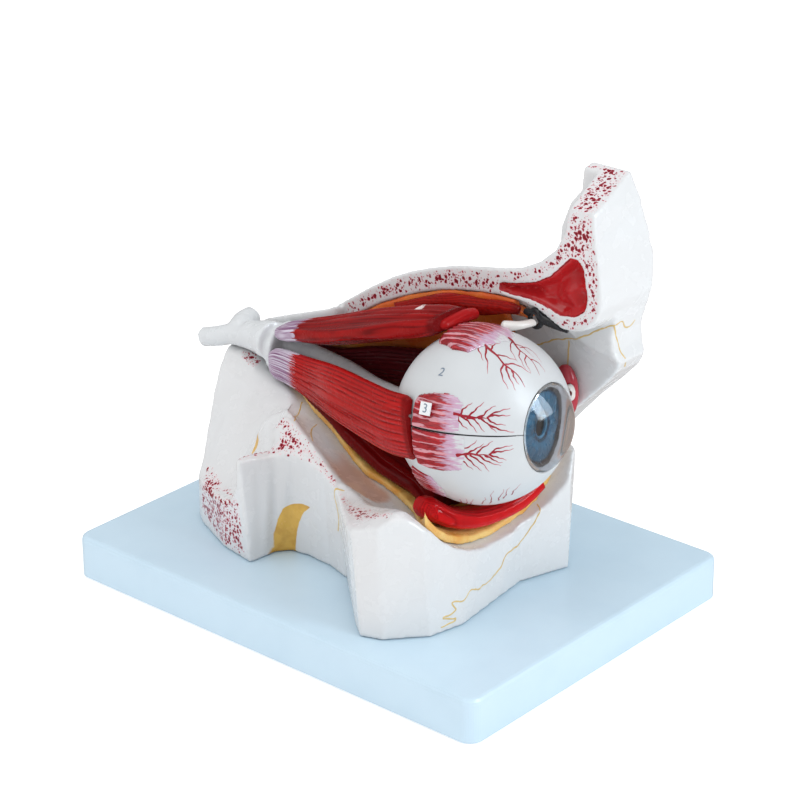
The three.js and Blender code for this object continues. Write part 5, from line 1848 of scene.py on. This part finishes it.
@dataclass
class Globe:
    """White eyeball in two halves, with vessels, numbers and a dark strip of painted shade in the split."""

    globe: GlobeFrame
    wall: float = 3.0
    split: float = 0.25
    hole: float = 5.0
    rim: float = 0.35
    arc_steps: int = 64
    turn_steps: int = 64
    line_root: float = 43.0
    paint: CastPlastic = CastPlastic("sclera_white", linear(202, 205, 207), linear(193, 195, 198), 0.3, 0.34,
                                     1.0, 0.02, specular=0.22)
    vessel: CastPlastic = CastPlastic("vessel_crimson", linear(158, 18, 40), linear(132, 10, 30), 0.6, 0.35)
    faint: CastPlastic = CastPlastic("vessel_faint", linear(186, 88, 100), linear(172, 62, 78), 0.6, 0.35)
    ink: CastPlastic = CastPlastic("number_ink", linear(122, 136, 152), linear(100, 114, 132), 0.5, 0.5)
    # black strip in the split: painted shade of the gap between the halves
    black: CastPlastic = CastPlastic("split_gap_shade", linear(26, 27, 30), linear(14, 14, 16), 0.4, 0.4)
    label: CastPlastic = CastPlastic("label_white", linear(232, 234, 236), linear(214, 218, 222), 0.3, 0.45)
    lining: CastPlastic = CastPlastic("choroid_brown", linear(112, 44, 34), linear(70, 22, 18))
    trees: tuple[VesselTree, ...] = (
        VesselTree(Body.EYE_UPPER, 0.62, 0.5, (
            ((-76.7, 12.7), (-72.0, 12.1), (-67.2, 11.6), (-61.1, 11.4), (-54.8, 11.2)),
            ((-72.0, 12.1), (-71.0, 15.5), (-68.0, 18.2), (-64.9, 20.5)),
            ((-67.2, 11.6), (-64.6, 14.0), (-61.4, 17.4), (-57.0, 21.2)),
            ((-61.1, 11.4), (-57.5, 13.0), (-54.4, 16.4), (-49.4, 19.1)),
            ((-54.8, 11.2), (-52.2, 13.7), (-47.0, 15.7), (-39.6, 17.5)),
            ((-53.1, 13.1), (-47.0, 13.0), (-39.8, 12.8)),
            ((-74.4, 12.4), (-72.7, 8.7), (-70.2, 5.9), (-66.7, 3.8)),
            ((-72.0, 11.8), (-67.7, 9.4), (-64.4, 6.3), (-60.7, 2.1)),
            ((-67.8, 11.1), (-62.7, 9.9), (-59.5, 6.3), (-56.4, 2.5)),
            ((-60.4, 11.3), (-55.8, 8.9), (-52.2, 5.5), (-48.7, 2.5)),
            ((-54.8, 11.2), (-50.7, 8.3), (-42.9, 7.1)),
            ((-53.6, 7.2), (-47.2, 4.5), (-37.3, 2.2)))),
        VesselTree(Body.EYE_LOWER, 0.62, 0.5, (
            ((-73.9, -14.0), (-67.7, -12.4), (-60.2, -12.5), (-52.6, -12.5)),
            ((-73.3, -13.4), (-70.0, -9.6), (-65.7, -7.5), (-62.9, -5.4), (-60.9, -2.8)),
            ((-67.0, -12.3), (-63.4, -9.9), (-59.7, -7.6), (-56.3, -5.1)),
            ((-60.9, -12.5), (-58.1, -8.5), (-54.5, -6.0), (-50.9, -3.0)),
            ((-52.6, -12.5), (-49.0, -8.6), (-43.7, -7.1), (-38.0, -6.0)),
            ((-50.9, -10.6), (-44.9, -10.0), (-37.0, -8.5)),
            ((-71.9, -14.4), (-69.5, -17.3), (-66.5, -21.0), (-62.8, -23.6)),
            ((-68.4, -13.5), (-65.3, -16.7), (-61.5, -20.6), (-57.0, -24.4)),
            ((-65.0, -12.9), (-59.5, -16.6), (-55.2, -20.3), (-52.1, -24.8)),
            ((-59.6, -12.6), (-55.4, -16.0), (-50.4, -18.3), (-44.2, -20.2)),
            ((-52.6, -12.5), (-47.6, -13.9), (-41.0, -16.0)),
            ((-55.5, -12.7), (-50.7, -15.1), (-46.7, -17.4), (-43.4, -17.9)))),
        VesselTree(Body.EYE_UPPER, 0.62, 0.7, (
            ((-73.5, 70.8), (-56.1, 62.1), (-45.7, 54.4), (-40.0, 47.5), (-33.7, 42.6), (-29.1, 36.8),
             (-26.4, 30.3)),
            ((-67.6, 68.0), (-67.5, 60.6), (-62.4, 54.6), (-59.6, 49.8)),
            ((-56.1, 62.1), (-57.4, 54.3), (-55.1, 47.5), (-55.4, 40.1)),
            ((-40.0, 47.5), (-43.5, 42.8), (-43.1, 36.8), (-39.9, 29.7)),
            ((-38.5, 45.9), (-38.3, 39.7), (-36.2, 33.8), (-34.6, 28.6)),
            ((-33.7, 42.6), (-33.6, 37.3), (-31.1, 32.2)),
            ((-45.7, 54.4), (-37.3, 53.8), (-31.4, 51.4), (-25.3, 49.7)),
            ((-51.4, 59.1), (-43.5, 65.0), (-35.6, 65.8)),
            ((-38.6, 47.0), (-29.8, 46.8), (-22.1, 43.0), (-17.4, 38.9)),
            ((-62.0, 65.6), (-53.0, 65.0), (-46.8, 62.8)))),
        VesselTree(Body.EYE_UPPER, 0.4, 0.7, (
            ((-12.1, 70.3), (-12.3, 64.0), (-13.3, 56.7), (-10.4, 52.6), (-7.9, 48.3), (-8.4, 42.7),
             (-8.5, 36.8)),
            ((-13.5, 66.0), (-24.6, 60.1), (-26.0, 52.9), (-25.3, 48.4)),
            ((-13.3, 56.7), (-19.1, 53.9), (-20.7, 47.4), (-20.8, 42.6)),
            ((-10.4, 52.6), (-16.9, 47.8), (-16.9, 42.9), (-16.8, 39.2)),
            ((-12.3, 64.0), (-4.0, 60.5), (-3.5, 54.3), (-1.5, 50.3)),
            ((-9.0, 60.2), (3.0, 57.6), (4.8, 51.4), (3.4, 44.8)),
            ((-8.8, 49.0), (-3.2, 47.0), (-0.4, 42.3), (-0.1, 37.9)))),
        VesselTree(Body.EYE_LOWER, 0.4, 0.0, (
            ((-98.8, -70.9), (-87.6, -64.9), (-82.9, -58.1)),
            ((-90.5, -72.9), (-74.9, -60.8), (-74.0, -55.6)),
            ((-79.9, -74.4), (-68.6, -60.6), (-64.7, -55.0)),
            ((-54.4, -65.0), (-53.5, -58.2), (-51.6, -54.9), (-53.0, -50.8)),
            ((-43.3, -63.6), (-45.0, -54.9), (-47.3, -48.3), (-46.2, -42.5)),
            ((-35.7, -57.1), (-37.8, -51.1), (-36.8, -46.5), (-37.4, -41.0)),
            ((-32.1, -53.6), (-32.3, -48.0), (-34.3, -43.1), (-32.9, -39.9)),
            ((-25.3, -48.8), (-26.9, -43.8), (-25.6, -41.2), (-24.5, -36.5)))),
    )

    def build(self, shop: Workshop) -> None:
        """Makes the halves and everything painted on them.

        Args:
            shop: the workshop.
        """
        for half, sign, body in (("upper", 1, Body.EYE_UPPER), ("lower", -1, Body.EYE_LOWER)):
            shop.place(self._half(f"globe_{half}", sign), body, self.paint, "sclera", [f"sclera_{half}"])
            shop.dress(f"choroid_{half}", self.lining)
        shop.place(self._split_gap_shade(), Body.EYE_LOWER, self.black, "black_plastic")
        for number, tree in enumerate(self.trees, 1):
            for kind, paint in (("stem", self.vessel), ("fine", self.faint)):
                shop.place(self._vessels(f"vessel_{number}_{kind}", tree, kind == "fine"), tree.body, paint,
                           "mucosa")
        shop.dress("number_plate_3", self.label)
        middle = sum(np.array(corner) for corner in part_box("number_plate_3")) / 2 / MM
        plate = self.globe.local(middle)
        height = float(np.linalg.norm(plate)) - self.globe.radius + 0.42
        for name, text, spot, size, lift in (
                ("globe_number_2", "2", np.array((-2.6, -35.5, 27.7)), 4.7, 0.12),
                ("label_number_3", "3", plate, 4.6, height)):
            shop.place(self._digit(name, text, spot, size, lift), Body.EYE_UPPER, self.ink, "black_plastic")

    def _half(self, name: str, sign: int) -> Piece:
        """One half of the white shell.

        Args:
            name: the piece's name.
            sign: 1 for the upper half, -1 for the lower.

        Returns:
            The new object.
        """
        limbus, outer, inner = self.globe.limbus, self.globe.radius, self.globe.radius - self.wall
        lip = self.globe.mouth() - self.rim
        starts = [math.asin(limbus / outer), math.pi - math.asin(self.hole / outer)]
        ends = [math.pi - math.asin(self.hole / inner), math.asin(limbus / inner)]
        profile = [(radius * math.cos(t), radius * math.sin(t)) for radius, (first, last) in
                   ((outer, starts), (inner, ends)) for t in np.linspace(first, last, self.arc_steps)]
        profile[0] = (lip, math.sqrt(outer**2 - lip**2))
        profile.append((self.globe.mouth() - self.rim * 1.4, limbus))
        local = turned(profile, np.linspace(0, math.pi, self.turn_steps))
        local[..., 2] = np.maximum(local[..., 2], self.split) * sign
        arc, count = self.arc_steps, len(profile)
        faces = ring_faces(self.turn_steps, count)
        for first in (0, (self.turn_steps - 1) * count):
            faces += [(first + i, first + i + 1, first + 2 * arc - 2 - i, first + 2 * arc - 1 - i)
                      for i in range(arc - 1)]
            faces.append((first, first + 2 * arc - 1, first + 2 * arc))
        return make_object(name, self.globe.world(local.reshape(-1, 3)), faces, 35)

    def _split_gap_shade(self) -> Piece:
        """Dark strip in the split, on the lower half: painted shade of the gap between the halves.

        Returns:
            The new object.
        """
        theta = np.linspace(math.radians(36), math.radians(170), 90)
        points, faces = [], []
        for side in (-1, 1):
            faces += tube_faces(len(theta), 4, len(points))
            for t in theta:
                half = 0.34 * min(1.0, (t - theta[0]) / 0.35 + 0.35)
                for radius, z in ((self.globe.radius + 0.03, -half - 0.1), (self.globe.radius + 0.05, 0.02),
                                  (self.line_root, 0.02), (self.line_root, -0.22)):
                    points.append((radius * math.cos(t), side * radius * math.sin(t), z))
        return make_object("split_gap_shade", self.globe.world(np.array(points)), faces)

    def _vessels(self, name: str, tree: VesselTree, fine: bool) -> Piece:
        """Stem and curved branches of one painted vessel, or their fine ends.

        Args:
            name: the piece's name.
            tree: what the vessel is.
            fine: makes the fine ends.

        Returns:
            The new object.
        """
        rings, faces, total = [], [], 0
        count = 30
        share = np.linspace(0, 1, count)
        for place, strand in enumerate(tree.strands):
            stem = place == 0
            angles = np.radians(np.array(strand))
            local = np.stack([np.cos(angles[:, 1]) * np.cos(angles[:, 0]),
                              np.cos(angles[:, 1]) * np.sin(angles[:, 0]), np.sin(angles[:, 1])], axis=1)
            thick = tree.radius * (1.25 if stem else 0.8) * np.interp(share, [0, 0.15, 1], [1.2, 1, 0.2])
            thick = thick * (1 + 0.14 * np.sin(share * 23 + place))
            shown = slice(26 if stem else 16, count) if fine else slice(0, 28 if stem else 18)
            lift = 0.03 + tree.lift * np.clip(1 - share * 3, 0, 1) * stem
            path = self.globe.on_globe(spline(local * self.globe.radius, count), lift)
            sway = unit(np.cross(path, np.gradient(path, axis=0)))
            path = path + sway * (0.16 * np.sin(share * 17 + 2 * place))[:, None]
            ring, quads = tube_mesh(path[shown], thick[shown], 6, unit(path)[shown], 0.3)
            faces += [tuple(i + total for i in quad) for quad in quads]
            rings.append(ring)
            total += len(ring)
        return make_object(name, self.globe.world(np.concatenate(rings)), faces)

    def _digit(self, name: str, text: str, spot: np.ndarray, size: float, height: float) -> Piece:
        """Printed digit wrapped on the globe.

        Args:
            name: the piece's name.
            text: the digit.
            spot: its middle in the eyeball's own axes.
            size: its height.
            height: how far it stands off the globe.

        Returns:
            The new object.
        """
        curve = bpy.data.curves.new(name + "_shape", "FONT")
        curve.body = text
        curve.align_x = "CENTER"
        curve.align_y = "CENTER"
        curve.size = 1.0
        source = linked(name + "_shape", curve)
        bpy.context.view_layer.update()
        flat = bpy.data.meshes.new_from_object(source.evaluated_get(bpy.context.evaluated_depsgraph_get()))
        bpy.data.objects.remove(source)
        places = np.array([vertex.co for vertex in flat.vertices])[:, :2] * size * 1.4
        faces = double_faces([tuple(face.vertices) for face in flat.polygons], len(places))
        bpy.data.meshes.remove(flat)
        out = unit(spot)
        up = unit(np.array((0.0, 0.0, 1.0)) - out * out[2])
        spread = spot + places[:, :1] * np.cross(up, out) + places[:, 1:] * up
        both = [self.globe.on_globe(spread, level) for level in (height, height - 0.1)]
        return make_object(name, self.globe.world(np.concatenate(both)), faces)


@dataclass
class FrontChamber:
    """Clear cornea, blue iris, a black disc behind the pupil as painted shade of the eye's inside, and the
    clear pieces inside the eyeball.
    """

    globe: GlobeFrame
    dome_radius: float = 30.0
    wall: float = 1.9
    crown: float = 4.0
    dome_steps: int = 36
    iris_rim: float = 17.9
    ramp_rim: float = 22.3
    pupil: float = 5.0
    iris_rise: float = 1.6
    iris_depth: float = 3.4
    steps: int = 72
    clear: ClearPlastic = ClearPlastic("cornea_clear")
    inner_clear: ClearPlastic = ClearPlastic("inner_clear", (0.95, 0.97, 0.96), 0.05)
    iris: IrisPaint = IrisPaint()
    pupil_shade_paint: CastPlastic = CastPlastic("pupil_shade_black", linear(12, 14, 18), linear(6, 7, 9), 0.3, 0.15)
    ring_shadow_reflection: ShadowReflectionRing = ShadowReflectionRing()
    ring_paint: CastPlastic = CastPlastic("ciliary_brown", linear(96, 40, 34), linear(56, 20, 18))

    def build(self, shop: Workshop) -> None:
        """Makes the cornea, iris, pupil and inner pieces.

        Args:
            shop: the workshop.
        """
        shop.place(self._turned("cornea_dome", self._dome()), Body.CORNEA, self.clear, "clear_plastic",
                   ["cornea"])
        mouth, rim, edge = self.globe.mouth(), self.iris_rim, self.iris_rim - 0.7
        back = mouth - self.iris_depth
        disc = [(back, rim), (back, edge)]
        disc += [(back + self.iris_rise * math.sin(math.pi * s) * 0.6, edge - s * (edge - self.pupil))
                 for s in np.linspace(0.05, 1, 16)]
        disc += [(back - 1.2, self.pupil + 0.1), (back - 1.2, rim)]
        ramp = [(back - 1.2, rim), (back + 0.1, rim), (back + 0.5, rim + 0.8), (mouth - 1.4, self.ramp_rim),
                (back - 1.2, self.ramp_rim)]
        for name, loop, outermost, finish, nodes in (
                ("iris_disc", disc, rim, self.iris, ["iris"]),
                ("chamber_ring", ramp, self.ramp_rim, self.ring_shadow_reflection, [])):
            piece = self._turned(name, loop, closed=True)
            _, y, z = self.globe.local(read_vertices(piece) / MM).T
            store(piece, along=np.hypot(y, z) / outermost, across=np.abs(np.arctan2(z, y)) / math.pi,
                  nose=(y - 0.25 * z) / self.ramp_rim)
            shop.place(piece, Body.EYE_LOWER, finish, "iris", nodes)
        # black disc just behind the pupil: painted shade of the inside of the eye
        wide = self.pupil + 0.4
        pupil = self._turned("pupil_shade_disc", [(back - 0.9, 0), (back - 0.9, wide), (back - 1.3, wide),
                                            (back - 1.3, 0)])
        shop.place(pupil, Body.EYE_LOWER, self.pupil_shade_paint, "black_plastic")
        for name, node, voxel in (("clear_lens", "lens", 0.6), ("clear_vitreous", "vitreous_body", 1.0)):
            shop.place(shop.skin(name, node, voxel, 12), Body.EYE_INSIDE, self.inner_clear, "clear_plastic",
                       [node])
        shop.dress("ciliary_body", self.ring_paint)

    def _dome(self) -> list[tuple[float, float]]:
        """Profile of the cornea, thickest at its crown.

        Returns:
            Distances along the gaze and radii.
        """
        mouth, rim = self.globe.mouth(), self.globe.limbus - 0.35
        centre = mouth - math.sqrt(self.dome_radius**2 - rim**2)
        inner_rim, inner_mouth = rim - self.wall, mouth - 0.6
        rise = centre + self.dome_radius - self.crown - inner_mouth
        thin = (inner_rim**2 + rise**2) / (2 * rise)
        inner_centre = inner_mouth + rise - thin
        outer = [(centre + self.dome_radius * math.cos(t), self.dome_radius * math.sin(t))
                 for t in np.linspace(0, math.asin(rim / self.dome_radius), self.dome_steps)]
        inner = [(inner_centre + thin * math.cos(t), thin * math.sin(t))
                 for t in np.linspace(math.asin(inner_rim / thin), 0, self.dome_steps)]
        return [*outer, (mouth - 1.2, rim), (mouth - 1.2, inner_rim), *inner]

    def _turned(self, name: str, profile: list[tuple[float, float]], closed: bool = False) -> Piece:
        """Piece turned about the gaze.

        Args:
            name: the piece's name.
            profile: distances along the gaze and radii.
            closed: joins the profile's end to its start.

        Returns:
            The new object.
        """
        count, faces = len(profile), []
        for t in range(self.steps):
            here, following = t * count, (t + 1) % self.steps * count
            for i in range(count if closed else count - 1):
                j = (i + 1) % count
                faces.append((here + i, following + i, following + j, here + j))
        local = turned(profile, np.linspace(0, 2 * math.pi, self.steps, endpoint=False)).reshape(-1, 3)
        return make_object(name, self.globe.world(local), faces, 50, 1e-6)


@dataclass
class NoseSide:
    """Pulley, tendon and tear sac on the nose side of the orbit."""

    black: CastPlastic = CastPlastic("pulley_black", linear(34, 35, 38), linear(18, 18, 20), 0.4, 0.3, 1.0,
                                     0.1)
    tendon: CastPlastic = CastPlastic("tendon_white", linear(226, 224, 220), linear(196, 190, 184), 0.35,
                                      0.26)
    sac: CastPlastic = CastPlastic("tear_sac_red", linear(188, 60, 74), linear(140, 22, 34), 0.8, 0.18, 0.6,
                                   0.05, coat=0.4)
    ring: CastPlastic = CastPlastic("tear_ring_white", linear(226, 222, 218), linear(200, 190, 184), 0.4,
                                    0.26)
    bore_shade: CastPlastic = CastPlastic("tear_bore_red", linear(96, 16, 22), linear(60, 8, 12), 0.4, 0.3)
    cord: Rows = ((73, 25.5, 165.1, 2.6), (71.6, 20.5, 165.2, 2.9), (69.6, 16.8, 165, 3.4),
                  (66.6, 13.8, 164.8, 4.1), (62.4, 10.6, 164.4, 4.6))
    duct: Point = (85.6, 40.4, 123.9)
    duct_out: Point = (0.8, -0.55, 0.2)

    def build(self, shop: Workshop) -> None:
        """Makes and dresses the small pieces of the nose side.

        Args:
            shop: the workshop.
        """
        course = spline(self.cord, 36)
        away = unit(course[:, :3] - np.array(GlobeFrame.centre))
        radii = course[:, 3] * round_ends(np.linspace(0, 1, len(course)), 0.06, 0.1, 0.02)
        cord = make_object("upper_oblique_tendon", *tube_mesh(course[:, :3], radii, 28, away, 0.66), 60)
        shop.place(cord, Body.EYE_UPPER, self.tendon, "nerve", ["superior_oblique_tendon"])
        for name, node, voxel, finish, slot in (
                # the pulley's black is its own; the black strip along the roof edge is painted shadow of the
                # gap there
                ("pulley_and_shadow_strap", "trochlea", 0.4, self.black, "black_plastic"),
                ("tear_sac", "lacrimal_sac", 0.6, self.sac, "mucosa"),
                ("tear_ring", "lacrimal_ring", 0.3, self.ring, "nerve")):
            shop.place(shop.skin(name, node, voxel, 8), Body.STAND, finish, slot, [node])
        # dark red plug in the tear ring's hole: the duct's red, darkened as painted shade inside the hole
        out = unit(np.array(self.duct_out))
        path = np.array(self.duct) + out * np.array([-0.9, -0.3, 0.15])[:, None]
        flat = np.tile(unit(np.cross(out, [0, 0, 1])), (3, 1))
        tube = make_object("tear_duct", *tube_mesh(path, np.array([1.25, 1.25, 1.1]), 20, flat, 0.55))
        shop.place(tube, Body.STAND, self.bore_shade, "mucosa")


def main() -> None:
    """Builds the whole scene on the frame."""
    logging.basicConfig(level=logging.INFO, format="%(name)s: %(message)s")
    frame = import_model()
    shop = Workshop(frame)
    globe = GlobeFrame()
    Stage().build()
    for assembly in (BaseMoulding(), SkullCasting(), SinusRecess(), OrbitLining(), NerveStem(),
                     MuscleSet(globe), StumpSet(globe), Globe(globe), FrontChamber(globe), NoseSide()):
        assembly.build(shop)


if __name__ == "__main__":
    main()
